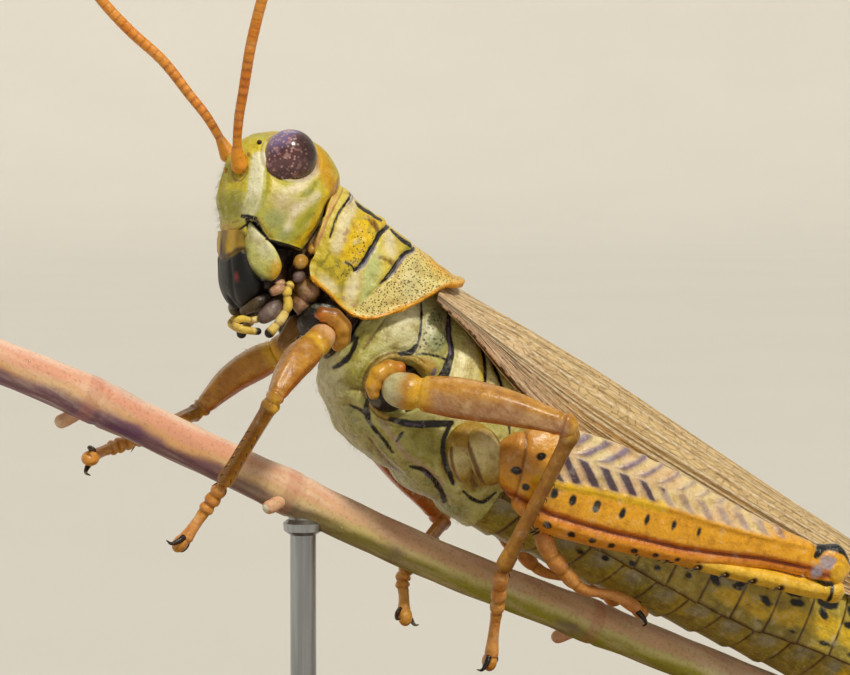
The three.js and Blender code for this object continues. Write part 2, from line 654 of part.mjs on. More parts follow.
/** A rod from its socket in the base up into the stem. */
function standRod(x) {
  const path = new THREE.CatmullRomCurve3(STEM_LINE);
  const place = path.getPoints(200).reduce((a, b) => (Math.abs(a.x - x) < Math.abs(b.x - x) ? a : b));
  const foot = BASE.height - ROD_SOCKET;
  const length = place.z - 0.4 - foot;
  return closed(new THREE.CylinderGeometry(ROD_RADIUS, ROD_RADIUS, length, 8)
    .rotateX(Math.PI / 2)
    .translate(x, 0, foot + length / 2));
}

addPiece('perch_stem', perchStem(), 'stem', model);
addPiece('stand_base', standBase(), 'wood', model);
addPiece('stand_rod_front', standRod(ROD_PLACES.front), 'steel', model);
addPiece('stand_rod_rear', standRod(ROD_PLACES.rear), 'steel', model);

// ---------- Clearances: who gives way to whom ----------

makeWay('prothorax', 'pronotum');
makeWay('thorax', 'pronotum', 'prothorax');
makeWay('head', 'pronotum', 'prothorax', 'mandible_left', 'mandible_right', 'labrum');
makeWay('maxillae', 'head', 'mandible_left', 'mandible_right', 'labrum', 'prothorax');
makeWay('abdomen', 'thorax');
makeWay('ovipositor', 'abdomen');
makeWay('perch_stem', 'stand_rod_front', 'stand_rod_rear');
makeWay('stand_base', 'stand_rod_front', 'stand_rod_rear');
for (const side of ['left', 'right']) {
  makeWay(`mandible_${side}`, 'labrum');
  makeWay(`eye_${side}`, 'head');
  makeWay(`antenna_${side}`, 'head');
  makeWay(`maxillary_palp_${side}`, 'maxillae');
  makeWay(`labial_palp_${side}`, 'maxillae', 'labrum');
  makeWay(`tegmen_${side}`, 'pronotum');
  makeWay(`hind_${side}_coxa`, 'thorax', 'abdomen');
  makeWay(`hind_${side}_femur`, `hind_${side}_coxa`, 'thorax', 'abdomen');
  makeWay(`hind_${side}_tibia`, `hind_${side}_femur`);
  makeWay(`hind_${side}_tarsus`, `hind_${side}_tibia`);
}

export default model;
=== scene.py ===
"""A differential grasshopper, adult female: a still, life-size model that clings to a cut stem.

Shapes are drawn in millimetres, in one of three frames. The stand frame is the model's own, with +Z up.
The body frame has x back along the body from the rear tip of the shield, y to the insect's right and z
towards its back. The head frame has z up along the face and x towards the neck.

A marking is a field: the distance in mm to its edge, below zero inside it. Fields are painted on the
meshes, and the finishes turn them into crisp, slightly uneven edges.
"""

import logging
import math
from collections.abc import Callable, Sequence
from dataclasses import dataclass, field
from enum import Enum

import bmesh
import bpy
import numpy as np
from mathutils import Matrix, Vector


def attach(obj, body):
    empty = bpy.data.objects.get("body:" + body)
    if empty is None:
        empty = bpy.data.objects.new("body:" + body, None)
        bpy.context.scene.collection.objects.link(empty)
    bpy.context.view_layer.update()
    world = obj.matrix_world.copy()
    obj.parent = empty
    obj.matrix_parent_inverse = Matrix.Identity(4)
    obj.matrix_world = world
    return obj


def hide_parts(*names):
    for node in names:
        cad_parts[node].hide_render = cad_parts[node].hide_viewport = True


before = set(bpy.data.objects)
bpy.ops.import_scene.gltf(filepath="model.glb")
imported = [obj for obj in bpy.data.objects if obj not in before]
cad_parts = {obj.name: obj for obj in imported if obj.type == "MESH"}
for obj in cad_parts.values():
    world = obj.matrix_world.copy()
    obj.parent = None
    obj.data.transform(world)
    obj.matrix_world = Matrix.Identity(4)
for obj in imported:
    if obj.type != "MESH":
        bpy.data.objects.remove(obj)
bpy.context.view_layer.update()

log = logging.getLogger("grasshopper")

MM = 0.001
ROOT = "root"
WELD = 0.0015          # mm between vertices that are merged
EDGE_STEP = 0.002      # how far apart a surface is sampled for its normals
NOTHING = 1.0          # the value of a field away from any marking

Array = np.ndarray
Surface = Callable[[Array, Array], Array]
Field = Callable[["Spot"], Array]
Colour = tuple[float, float, float]
Line = Sequence[tuple[float, ...]]


def tint(code: int) -> Colour:
    """Turns an 0xRRGGBB colour into linear red, green and blue.

    Args:
        code: The colour as it looks on a screen.

    Returns:
        The colour as a shader reads it.
    """
    parts = [(code >> shift & 255) / 255 for shift in (16, 8, 0)]
    return tuple(part / 12.92 if part <= 0.04045 else ((part + 0.055) / 1.055) ** 2.4 for part in parts)


# ---------- Frames ----------

BODY_MATRIX = Matrix.Translation((0.63, 0, 32.7)) @ Matrix.Rotation(math.radians(31), 4, "Y")
HEAD_MATRIX = (Matrix.Translation(BODY_MATRIX @ Vector((-8.26, 0, -0.88)))
               @ Matrix.Rotation(math.radians(10), 4, "Z") @ Matrix.Rotation(math.radians(-4), 4, "X"))


class Place(Enum):
    """The frames that shapes are drawn in, each with its matrix to the model's own frame, in mm."""

    STAND = "stand"
    BODY = "body"
    HEAD = "head"

    @property
    def matrix(self) -> Array:
        """The frame's matrix to the model's own frame."""
        return np.array({"stand": Matrix.Identity(4), "body": BODY_MATRIX, "head": HEAD_MATRIX}[self.value])

    def to_model(self, points: Array) -> Array:
        """Moves points from this frame to the model's own, still in mm."""
        return points @ self.matrix[:3, :3].T + self.matrix[:3, 3]


@dataclass(frozen=True)
class Spot:
    """Places on a skin: their points in mm in the skin's frame, and where they lie from 0 to 1 on it."""

    p: Array
    u: Array
    v: Array

    @property
    def x(self) -> Array:
        """How far back the points are."""
        return self.p[:, 0]

    @property
    def y(self) -> Array:
        """How far to the right the points are."""
        return self.p[:, 1]

    @property
    def z(self) -> Array:
        """How high the points are."""
        return self.p[:, 2]

    @property
    def side(self) -> Array:
        """The points in the side view, as x and z."""
        return self.p[:, [0, 2]]

    @property
    def near(self) -> Array:
        """The points with both sides of the insect laid on one, where y counts outwards."""
        return np.stack([self.x, np.abs(self.y), self.z], -1)


# ---------- Curves, tables and distances ----------

class Profile:
    """A table of (place, value, ...) rows, read at any place along smooth curves."""

    def __init__(self, rows: Line) -> None:
        """Keeps the rows, in the order of their places, and works out the slope at each."""
        self.rows = np.array(rows, float)
        after = np.roll(self.rows, -1, 0)
        after[-1] = self.rows[-1]
        before = np.roll(self.rows, 1, 0)
        before[0] = self.rows[0]
        self.slope = (after - before)[:, 1:] / (after - before)[:, :1]

    def at(self, place: Array) -> list[Array]:
        """Reads the table.

        Args:
            place: Where to read it.

        Returns:
            One array for each column after the first.
        """
        place = np.asarray(place, float)
        i = np.clip(np.searchsorted(self.rows[:, 0], place, "right") - 1, 0, len(self.rows) - 2)
        span = self.rows[i + 1, 0] - self.rows[i, 0]
        t = np.clip((place - self.rows[i, 0]) / span, 0, 1)[..., None]
        value = self.rows[i, 1:] + (self.rows[i + 1, 1:] - self.rows[i, 1:]) * t * t * (3 - 2 * t)
        value += span[..., None] * (self.slope[i] * t * (1 - t) ** 2 - self.slope[i + 1] * t * t * (1 - t))
        return [value[..., k] for k in range(value.shape[-1])]


class Path:
    """A smooth curve through points, read by the share of its length."""

    SAMPLES = 60

    def __init__(self, points: Line, ring: bool = False) -> None:
        """Runs a centripetal Catmull-Rom curve through the points.

        Args:
            points: The points, of two or three numbers each.
            ring: Whether the curve closes on itself.
        """
        spots = np.array(points, float)
        if ring:
            spots = np.vstack([spots[-1], spots, spots[:2]])
        else:
            spots = np.vstack([2 * spots[0] - spots[1], spots, 2 * spots[-1] - spots[-2]])
        pieces = [self._stretch(*spots[i:i + 4]) for i in range(len(spots) - 3)]
        self.line = np.vstack(pieces + [spots[-2]])
        steps = np.linalg.norm(np.diff(self.line, axis=0), axis=1)
        self.share = np.concatenate([[0], np.cumsum(steps)])
        self.length = float(self.share[-1])
        self.share /= self.length
        self.tangent = unit(np.gradient(self.line, axis=0))

    def _stretch(self, a: Array, b: Array, c: Array, d: Array) -> Array:
        """Samples the curve from b to c, where a comes before and d after them."""
        gaps = [max(float(np.linalg.norm(q - p)) ** 0.5, 1e-6) for p, q in ((a, b), (b, c), (c, d))]
        leave = ((b - a) / gaps[0] - (c - a) / (gaps[0] + gaps[1]) + (c - b) / gaps[1]) * gaps[1]
        arrive = ((c - b) / gaps[1] - (d - b) / (gaps[1] + gaps[2]) + (d - c) / gaps[2]) * gaps[1]
        t = np.linspace(0, 1, self.SAMPLES, endpoint=False)[:, None]
        return (b + leave * t + (3 * (c - b) - 2 * leave - arrive) * t ** 2
                + (2 * (b - c) + leave + arrive) * t ** 3)

    def at(self, share: Array) -> Array:
        """The points at shares of the length."""
        return np.stack([np.interp(share, self.share, column) for column in self.line.T], -1)

    def heading(self, share: Array) -> Array:
        """The directions at shares of the length, each of length 1."""
        return unit(np.stack([np.interp(share, self.share, column) for column in self.tangent.T], -1))


def unit(vectors: Array) -> Array:
    """Vectors of length 1."""
    return vectors / np.maximum(np.linalg.norm(vectors, axis=-1, keepdims=True), 1e-12)


def step(values: Array, low: float, high: float) -> Array:
    """A smooth step from 0 at low to 1 at high."""
    t = np.clip((values - low) / (high - low), 0, 1)
    return t * t * (3 - 2 * t)


def bump(distance: Array, width: float) -> Array:
    """A smooth ridge: 1 where the distance is 0, falling away over the width."""
    return np.exp(-(distance / width) ** 2)


def read(table: Line, place: Array) -> Array:
    """Reads a table of (place, value) rows along straight lines."""
    return np.interp(place, *np.array(table, float).T)


def to_line(points: Array, line: Line, half: float = 0.0, taper: float = 0.0) -> Array:
    """Distances to a smooth line, less half its width.

    Args:
        points: Points of as many numbers as the line's.
        line: The line's points.
        half: Half the line's width.
        taper: How much of the width is lost towards the ends, from 0 to 1.

    Returns:
        One distance for each point, below zero on the line.
    """
    spots = np.array(line, float)
    if len(line) > 2:
        spots = np.vstack([Path(line).line[::12], line[-1]])
    best = np.full(len(points), 1e9)
    for i, (a, b) in enumerate(zip(spots[:-1], spots[1:])):
        along = b - a
        t = np.clip((points - a) @ along / max(float(along @ along), 1e-12), 0, 1)
        width = half * (1 - taper * (1 - np.sin(np.pi * (i + t) / (len(spots) - 1)) ** 0.6)) if taper else half
        best = np.minimum(best, np.linalg.norm(points - a - t[:, None] * along, axis=1) - width)
    return best


def to_patch(points: Array, x: float, z: float, long: float, short: float, turn: float) -> Array:
    """Distances to the edge of an ellipse.

    Args:
        points: Points of two numbers.
        x: The first number of its centre.
        z: The second number of its centre.
        long: Half its size along its turn.
        short: Half its size across.
        turn: Its turn in degrees.

    Returns:
        One distance for each point, below zero inside.
    """
    c, s = math.cos(math.radians(turn)), math.sin(math.radians(turn))
    across, up = points[:, 0] - x, points[:, 1] - z
    return (np.hypot((across * c + up * s) / long, (up * c - across * s) / short) - 1) * min(long, short)


def marks(*shapes: tuple, taper: float = 0.0) -> Field:
    """A field of patches and lines on both sides of the insect.

    Args:
        shapes: Each an ellipse in the side view, as for to_patch, or a line of two or three numbers a
            point with half its width.
        taper: How much of their width the lines lose towards their ends.

    Returns:
        The field.
    """
    def paint(s: Spot) -> Array:
        """The least distance to the shapes."""
        best = np.full(len(s.p), 1e9)
        for shape in shapes:
            if len(shape) == 2:
                found = to_line(s.near if len(shape[0][0]) == 3 else s.side, *shape, taper)
            else:
                found = to_patch(s.side, *shape)
            best = np.minimum(best, found)
        return best

    return paint


# ---------- Shader graphs ----------

class Socket:
    """A node's output, with arithmetic: each operator adds a Math node."""

    def __init__(self, graph: "Graph", output: bpy.types.NodeSocket) -> None:
        """Wraps an output of a node in a graph."""
        self.graph = graph
        self.output = output

    def _math(self, operation: str, *values: "Socket | float") -> "Socket":
        """Adds a Math node that works on these values in turn."""
        return self.graph.node("ShaderNodeMath", {"operation": operation}, dict(enumerate(values)))

    def __add__(self, other: "Socket | float") -> "Socket":
        """Sum."""
        return self._math("ADD", self, other)

    __radd__ = __add__

    def __sub__(self, other: "Socket | float") -> "Socket":
        """Difference."""
        return self._math("SUBTRACT", self, other)

    def __rsub__(self, other: float) -> "Socket":
        """Difference from a number."""
        return self._math("SUBTRACT", other, self)

    def __mul__(self, other: "Socket | float") -> "Socket":
        """Product."""
        return self._math("MULTIPLY", self, other)

    __rmul__ = __mul__

    def __truediv__(self, other: "Socket | float") -> "Socket":
        """Quotient."""
        return self._math("DIVIDE", self, other)

    def wave(self, spacing: float) -> "Socket":
        """The distance to the nearest multiple of a spacing, as a share of it, from 0 to 0.5."""
        return self._math("PINGPONG", self, spacing / 2) / spacing

    def step(self, low: float, high: float) -> "Socket":
        """A smooth step from 0 at low to 1 at high."""
        ends = {"From Min": low, "From Max": high, "To Min": 0.0, "To Max": 1.0}
        if low > high:
            ends = {"From Min": high, "From Max": low, "To Min": 1.0, "To Max": 0.0}
        return self.graph.node("ShaderNodeMapRange", {"interpolation_type": "SMOOTHSTEP"},
                               {"Value": self, **ends})


class Graph:
    """A material's node tree, built by calls. Colours are 0xRRGGBB."""

    def __init__(self, name: str) -> None:
        """Starts an empty material of this name."""
        self.material = bpy.data.materials.new(name)
        self.material.use_nodes = True
        self.tree = self.material.node_tree
        self.tree.nodes.clear()
        self.known: dict[tuple, Socket] = {}

    def node(self, kind: str, settings: dict | None = None, inputs: dict | None = None,
             output: int | str = 0) -> Socket:
        """Adds a node.

        Args:
            kind: The node's type.
            settings: Its properties, set first.
            inputs: Values or sockets for its inputs, by name or number.
            output: The output to return, by name or number.

        Returns:
            The output, wrapped.
        """
        made = self.tree.nodes.new(kind)
        for key, value in (settings or {}).items():
            setattr(made, key, value)
        for key, value in (inputs or {}).items():
            if isinstance(value, Socket):
                self.tree.links.new(value.output, made.inputs[key])
            elif made.inputs[key].type == "RGBA":
                made.inputs[key].default_value = (*tint(value), 1.0)
            else:
                made.inputs[key].default_value = value
        return Socket(self, made.outputs[output])

    def spot(self, stretch: Colour = (1, 1, 1), turn: Place = Place.STAND) -> Socket:
        """The place on the object in mm, in one of the frames' directions, stretched."""
        key = ("spot", stretch, turn)
        if key not in self.known:
            back = Matrix(turn.matrix.tolist()).to_3x3().inverted().to_euler()
            where = self.node("ShaderNodeTexCoord", output="Object")
            turned = self.node("ShaderNodeMapping", {"vector_type": "POINT"},
                               {"Vector": where, "Rotation": tuple(back), "Scale": (1 / MM,) * 3})
            self.known[key] = self.node("ShaderNodeVectorMath", {"operation": "MULTIPLY"},
                                        {0: turned, 1: stretch})
        return self.known[key]

    def field(self, name: str) -> Socket:
        """A value that is painted on the mesh."""
        key = ("field", name)
        if key not in self.known:
            self.known[key] = self.node("ShaderNodeAttribute", {"attribute_name": name}, output="Fac")
        return self.known[key]

    def noise(self, scale: float, detail: float = 2.0, spot: Socket | None = None) -> Socket:
        """Cloudy noise from 0 to 1, with the scale in waves per mm."""
        key = ("noise", scale, detail, id(spot))
        if key not in self.known:
            self.known[key] = self.node("ShaderNodeTexNoise", {},
                                        {"Vector": spot or self.spot(), "Scale": scale, "Detail": detail})
        return self.known[key]

    def cells(self, scale: float, feature: str = "F1", spot: Socket | None = None) -> Socket:
        """Distances in a pattern of cells, with the scale in cells per mm."""
        return self.node("ShaderNodeTexVoronoi", {"feature": feature},
                         {"Vector": spot or self.spot(), "Scale": scale}, "Distance")

    def mix(self, share: Socket | float, first: Socket | int, second: Socket | int,
            blend: str = "MIX") -> Socket:
        """Mixes two colours."""
        return self.node("ShaderNodeMix", {"data_type": "RGBA", "blend_type": blend},
                         {0: share, 6: first, 7: second}, 2)

    def relief(self, height: Socket, depth: float, under: Socket | None = None) -> Socket:
        """A bump, whose depth is in mm, over another one."""
        more = {"Normal": under} if under else {}
        return self.node("ShaderNodeBump", {},
                         {"Height": height, "Distance": depth * MM, "Strength": 1.0, **more}, "Normal")

    def surface(self, **inputs: Socket | float | int) -> bpy.types.Material:
        """Ends the graph with a Principled shader, whose inputs are given with _ for each space."""
        shader = self.node("ShaderNodeBsdfPrincipled", {},
                           {key.replace("_", " "): value for key, value in inputs.items()}, "BSDF")
        end = self.tree.nodes.new("ShaderNodeOutputMaterial")
        self.tree.links.new(shader.output, end.inputs["Surface"])
        return self.material


# ---------- Finishes ----------

class Pattern(Enum):
    """How a painted layer fills its field."""

    PLAIN = "plain"
    PITS = "pits"
    SPECKS = "specks"
    STREAKS = "streaks"


@dataclass(frozen=True)
class Layer:
    """A colour laid where a painted field is below zero."""

    field: str
    colour: int
    soft: float = 0.05
    wobble: float = 0.0
    waves: float = 2.5
    amount: float = 1.0
    pattern: Pattern = Pattern.PLAIN
    grain: float = 4.0

    def over(self, graph: Graph, under: Socket) -> Socket:
        """Lays the colour over another.

        Args:
            graph: The material's graph.
            under: The colour so far.

        Returns:
            The colour with this layer on it.
        """
        edge = graph.field(self.field)
        if self.wobble:
            edge = edge + (graph.noise(self.waves) - 0.5) * (2 * self.wobble)
        share = edge.step(self.soft, -self.soft) * self.amount
        if self.pattern is Pattern.PITS:
            share = share * graph.cells(self.grain).step(0.36, 0.22)
        elif self.pattern is Pattern.SPECKS:
            share = share * graph.noise(self.grain, 1.0).step(0.54, 0.64)
        elif self.pattern is Pattern.STREAKS:
            share = share * graph.noise(self.grain, 2.0, graph.spot((0.3, 1.0, 1.0), Place.BODY)).step(0.45, 0.65)
        return graph.mix(share, under, self.colour)


@dataclass(frozen=True)
class Cuticle:
    """Hard skin: two ground colours in clouds, painted layers, mottling, fine grain and a dull gloss."""

    name: str
    ground: int
    cloud: int
    layers: tuple[Layer, ...] = ()
    waves: float = 0.55
    roughness: float = 0.42
    coat: float = 0.14
    mottle: float = 0.45
    depth: float = 0.035
    pits: str = ""
    pit_grain: float = 4.2
    pit_depth: float = 0.05

    def make(self) -> bpy.types.Material:
        """Builds the material."""
        graph = Graph(self.name)
        colour = graph.mix(graph.noise(self.waves, 3.0).step(0.36, 0.64), self.ground, self.cloud)
        for layer in self.layers:
            colour = layer.over(graph, colour)
        blotches = graph.noise(1.9, 4.0)
        fine = graph.noise(7.0, 3.0)
        colour = graph.mix(blotches.step(0.52, 0.3) * self.mottle, colour, 0xC2AE78, "MULTIPLY")
        colour = graph.mix(blotches.step(0.55, 0.72) * self.mottle * 0.35, colour, 0xFFF6DC)
        colour = graph.mix(fine.step(0.52, 0.7) * 0.3, colour, 0xB8A276, "MULTIPLY")
        normal = graph.relief(fine + graph.noise(2.6, 3.0) * 2.0, self.depth)
        if self.pits:
            dents = graph.cells(self.pit_grain).step(0.2, 0.42) * graph.field(self.pits).step(0.1, -0.1)
            normal = graph.relief(dents, self.pit_depth, normal)
        rough = blotches * 0.2 + (self.roughness - 0.1)
        return graph.surface(Base_Color=colour, Roughness=rough, Normal=normal, Coat_Weight=self.coat,
                             Coat_Roughness=0.25, IOR=1.48)


# ---------- Pieces ----------

materials: dict[str, bpy.types.Material] = {}


def dress(piece: bpy.types.Object, finish: "Cuticle", slot: str, *stands_for: str) -> bpy.types.Object:
    """Gives a piece its finish, and fastens it to the model.

    Args:
        piece: The finished piece.
        finish: Its finish, whose material is made once.
        slot: The record's material slot; it is not used.
        stands_for: The solids that the piece stands for.

    Returns:
        The piece.
    """
    if finish.name not in materials:
        materials[finish.name] = finish.make()
    for layer in getattr(finish, "layers", ()):
        if layer.field not in piece.data.attributes:
            paint(piece, layer.field, np.full(len(piece.data.vertices), NOTHING))
    piece.data.materials.clear()
    piece.data.materials.append(materials[finish.name])
    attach(piece, ROOT)
    if stands_for:
        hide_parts(*stands_for)
    log.info("%s: %d faces", piece.name, len(piece.data.polygons))
    return piece


def paint(piece: bpy.types.Object, name: str, values: Array) -> None:
    """Writes a field on a piece's vertices."""
    piece.data.attributes.new(name, "FLOAT", "POINT").data.foreach_set("value", values.astype(np.float32))


def add_object(name: str, bm: bmesh.types.BMesh) -> bpy.types.Object:
    """Makes an object, shaded smooth, of a mesh under construction in metres, and frees that mesh."""
    mesh = bpy.data.meshes.new(name)
    bm.to_mesh(mesh)
    bm.free()
    mesh.polygons.foreach_set("use_smooth", [True] * len(mesh.polygons))
    piece = bpy.data.objects.new(name, mesh)
    bpy.context.scene.collection.objects.link(piece)
    return piece


@dataclass
class Skin:
    """A surface of two values from 0 to 1, with its relief in mm and its painted fields."""

    surface: Surface
    place: Place
    across: int
    along: int
    relief: Field | None = None
    fields: dict[str, Field] = field(default_factory=dict)
    open: bool = False
    wall: float = 0.0
    flip: bool = False

    def __post_init__(self) -> None:
        """Finds which side of the surface faces out: the side away from its middle."""
        u, v = (values.ravel() for values in np.meshgrid(np.linspace(0, 0.96, 25), np.linspace(0.1, 0.9, 17)))
        points = self.surface(u, v)
        self.flip = float((self.normals(u, v) * (points - points.mean(0))).sum()) < 0

    def normals(self, u: Array, v: Array) -> Array:
        """The outward normals at places on the surface."""
        low_u, high_u = u - EDGE_STEP, u + EDGE_STEP
        if self.open:
            low_u, high_u = np.clip(low_u, 0, 1), np.clip(high_u, 0, 1)
        low_v, high_v = np.clip(v - EDGE_STEP, 0, 1), np.clip(v + EDGE_STEP, 0, 1)
        along_u = self.surface(high_u, v) - self.surface(low_u, v)
        along_v = self.surface(u, high_v) - self.surface(u, low_v)
        normal = unit(np.cross(along_u, along_v))
        return -normal if self.flip else normal

    def points(self, u: Array, v: Array) -> tuple[Spot, Array, Array]:
        """The plain places, the normals, and the points with their relief."""
        spot = Spot(self.surface(u, v), u, v)
        normal = self.normals(u, v)
        if self.relief is None:
            return spot, normal, spot.p
        return spot, normal, spot.p + normal * self.relief(spot)[:, None]

    def mesh(self, bm: bmesh.types.BMesh, names: set[str]) -> None:
        """Adds the surface to a mesh: a grid moved on to it, with its seams welded and its ends closed.

        Args:
            bm: The mesh.
            names: The fields of the whole piece.
        """
        grid = bmesh.new()
        grid.loops.layers.uv.new("Surface")
        bmesh.ops.create_grid(grid, x_segments=self.across, y_segments=self.along, size=0.5, calc_uvs=True)
        sheet = bpy.data.meshes.new("sheet")
        grid.to_mesh(sheet)
        grid.free()
        flat = np.empty(len(sheet.vertices) * 3, np.float32)
        sheet.vertices.foreach_get("co", flat)
        spot, _, raised = self.points(*(flat.reshape(-1, 3)[:, :2].astype(float).T + 0.5))
        sheet.vertices.foreach_set("co", (self.place.to_model(raised) * MM).astype(np.float32).ravel())
        for name in sorted(names):
            values = self.fields[name](spot) if name in self.fields else np.full(len(spot.p), NOTHING)
            sheet.attributes.new(name, "FLOAT", "POINT").data.foreach_set("value", values.astype(np.float32))
        grid = bmesh.new()
        grid.from_mesh(sheet)
        if self.flip:
            bmesh.ops.reverse_faces(grid, faces=grid.faces)
        bmesh.ops.remove_doubles(grid, verts=grid.verts, dist=WELD * MM)
        if not self.open:
            bmesh.ops.holes_fill(grid, edges=[edge for edge in grid.edges if edge.is_boundary], sides=0)
            bmesh.ops.recalc_face_normals(grid, faces=grid.faces)
        if self.wall:
            self.thicken(grid)
        grid.to_mesh(sheet)
        grid.free()
        bm.from_mesh(sheet)
        bpy.data.meshes.remove(sheet)

    def thicken(self, grid: bmesh.types.BMesh) -> None:
        """Turns an open sheet into a wall, whose outer face is the sheet."""
        grid.normal_update()
        inner = [(vert, vert.normal * self.wall * MM) for vert in grid.verts]
        bmesh.ops.extrude_face_region(grid, geom=grid.faces[:])
        for vert, offset in inner:
            vert.co -= offset
        bmesh.ops.recalc_face_normals(grid, faces=grid.faces)


def build(name: str, *skins: Skin) -> bpy.types.Object:
    """Makes one piece of one or more skins."""
    bm = bmesh.new()
    names = {name for skin in skins for name in skin.fields}
    for skin in skins:
        skin.mesh(bm, names)
    return add_object(name, bm)


def ellipse(angle: Array, up_power: Array | float, down_power: Array | float) -> tuple[Array, Array]:
    """The lean and the rise of a superellipse at angles from its top.

    Args:
        angle: The angles, in radians.
        up_power: The power of the upper half, 2 for an ellipse.
        down_power: The power of the lower half.

    Returns:
        How far to the side and how far up, each from -1 to 1.
    """
    rise, lean = np.cos(angle), np.sin(angle)
    power = 2 / np.where(rise > 0, up_power, down_power)
    return np.sign(lean) * np.abs(lean) ** power, np.sign(rise) * np.abs(rise) ** power


def trunk_surface(rows: Line) -> Surface:
    """A stretch of the body, from rows of (x, top, bottom, half width, widest place, powers)."""
    table = Profile(rows)

    def surface(u: Array, v: Array) -> Array:
        """Places the points: u runs round from the underside and v runs back."""
        x = rows[0][0] + (rows[-1][0] - rows[0][0]) * v
        top, bottom, width, waist, up_power, down_power = table.at(x)
        middle = bottom + (top - bottom) * waist
        lean, rise = ellipse((2 * u - 1) * np.pi, up_power, down_power)
        return np.stack([x, width * lean, middle + np.where(rise > 0, top - middle, middle - bottom) * rise], -1)

    return surface


def stack_surface(rows: Line, front_power: float, back_power: float, dome: float = 0.0) -> Surface:
    """A stack of level slices, from rows of (place, front x, front z, back x, back z, half width)."""
    table = Profile(rows)

    def surface(u: Array, v: Array) -> Array:
        """Places the points: u runs round from the back and v runs up."""
        reach = np.sqrt(1 - np.clip((v - 1 + dome) / dome, 0, 1) ** 2) if dome else np.ones_like(v)
        front_x, front_z, back_x, back_z, width = table.at(np.minimum(v / (1 - dome), 1))
        lean, rise = ellipse(2 * np.pi * u, back_power, front_power)
        centre_x, centre_z = front_x + (back_x - front_x) * 0.48, front_z + (back_z - front_z) * 0.48
        to_x = np.where(rise > 0, back_x - centre_x, centre_x - front_x)
        to_z = np.where(rise > 0, back_z - centre_z, centre_z - front_z)
        return np.stack([centre_x + to_x * rise * reach, width * lean * reach,
                         centre_z + to_z * rise * reach + 0.12 * (1 - reach)], -1)

    return surface


def pillow_surface(outline: Line, low: float, high: float, power: float) -> Surface:
    """A cushion cut to a side view outline of (x, z) points, from one y to another."""
    ring = Path(outline, ring=True)
    middle = np.array(outline).mean(0)

    def surface(u: Array, v: Array) -> Array:
        """Places the points: u runs round the outline and v from the low face to the high one."""
        reach = np.sin(np.pi * np.clip(v, 0, 1)) ** power
        spot = middle + (ring.at(np.mod(u, 1.0)) - middle) * reach[:, None]
        y = (low + high) / 2 - (high - low) / 2 * np.cos(np.pi * v)
        return np.stack([spot[:, 0], y, spot[:, 1]], -1)

    return surface


@dataclass
class Limb:
    """A round-ended rod along a line, from rows of (place, size) or (place, up, down, width) half sizes."""

    line: Line
    rows: Line
    flank: tuple[float, float, float] = (0, 1, 0)
    power: float = 2.0
    bunch: float = 0.5

    def __post_init__(self) -> None:
        """Runs the path and reads the table of sizes."""
        self.path = Path(self.line)
        self.length = self.path.length
        self.sizes = Profile([row if len(row) == 4 else (row[0], *[row[1]] * 3) for row in self.rows])

    def share(self, v: Array) -> Array:
        """The share of the length at a place, with the places bunched towards the ends."""
        return v * (1 - self.bunch) + self.bunch * (0.5 - 0.5 * np.cos(np.pi * np.clip(v, 0, 1)))

    def along(self, s: Spot) -> Array:
        """How far places are from the start, in mm."""
        return self.share(s.v) * self.length

    def from_joints(self, s: Spot, joints: Sequence[float]) -> Array:
        """How far places are from the nearest joint, in mm; the joints are shares of the length."""
        return np.abs(self.share(s.v)[:, None] - np.array(joints)).min(1) * self.length

    def surface(self, u: Array, v: Array) -> Array:
        """Places the points: u runs round from the underside and v runs along."""
        share = self.share(v)
        up, down, width = self.sizes.at(share)
        to_end = np.minimum(share, 1 - share) * self.length
        round_off = np.sqrt(np.clip(1 - (1 - np.minimum(to_end / up + 0.0002, 1)) ** 2, 0, 1))
        along = self.path.heading(share)
        side = unit(np.array(self.flank) - along * (along @ np.array(self.flank))[:, None])
        rise = np.cross(side, along)
        lean, height = ellipse((2 * u - 1) * np.pi, self.power, self.power)
        return (self.path.at(share) + side * (width * round_off * lean)[:, None]
                + rise * (np.where(height > 0, up, down) * round_off * height)[:, None])

    def skin(self, across: int, along: int, relief: Field | None = None,
             fields: dict[str, Field] | None = None, place: Place = Place.BODY) -> Skin:
        """The limb's skin, with so many faces across and along."""
        return Skin(self.surface, place, across, along, relief, fields or {})


def jointed(shares: Sequence[float], girth: float, last: float, neck: float = 0.78) -> list[tuple[float, float]]:
    """Rows for a limb of joints that swell between their necks.

    Args:
        shares: Where each joint ends, as shares of the length.
        girth: The half size at the swellings.
        last: The half size near the tip.
        neck: The half size at the necks, as a share of the swelling.

    Returns:
        Rows of (place, half size).
    """
    rows = [(0.0, girth * 0.85)]
    for low, high in zip(shares[:-1], shares[1:]):
        size = girth + (last - girth) * high
        rows += [(low + 0.12 * (high - low), size * 0.85), (low + 0.7 * (high - low), size),
                 (high - 0.001, size * (neck if high < 1 else 0.9))]
    return rows


def flipped(points: Line, side: int = -1) -> list[tuple[float, ...]]:
    """A line on the insect's other side, where side is -1."""
    return [(x, y * side, z) for x, y, z in points]


def ball(name: str, centre: Array, size: tuple[float, float, float], place: Place, turn: Matrix,
         shape: Callable[[Array], Array] | None = None, rings: int = 48) -> bpy.types.Object:
    """A ball squeezed and turned in place.

    Args:
        name: The object's name.
        centre: Its centre, in mm in its frame.
        size: Its half sizes, in mm.
        place: The frame.
        turn: Its turn in that frame.
        shape: Changes the points of the ball of radius 1, or None.
        rings: How many rings and segments it has.

    Returns:
        The object.
    """
    bm = bmesh.new()
    bmesh.ops.create_uvsphere(bm, u_segments=rings, v_segments=rings // 2, radius=1)
    for vert in bm.verts:
        spot = np.array(vert.co)
        spot = shape(spot) if shape else spot
        vert.co = Vector(place.to_model(np.array(turn @ Vector(spot * np.array(size))) + centre) * MM)
    bmesh.ops.recalc_face_normals(bm, faces=bm.faces)
    return add_object(name, bm)


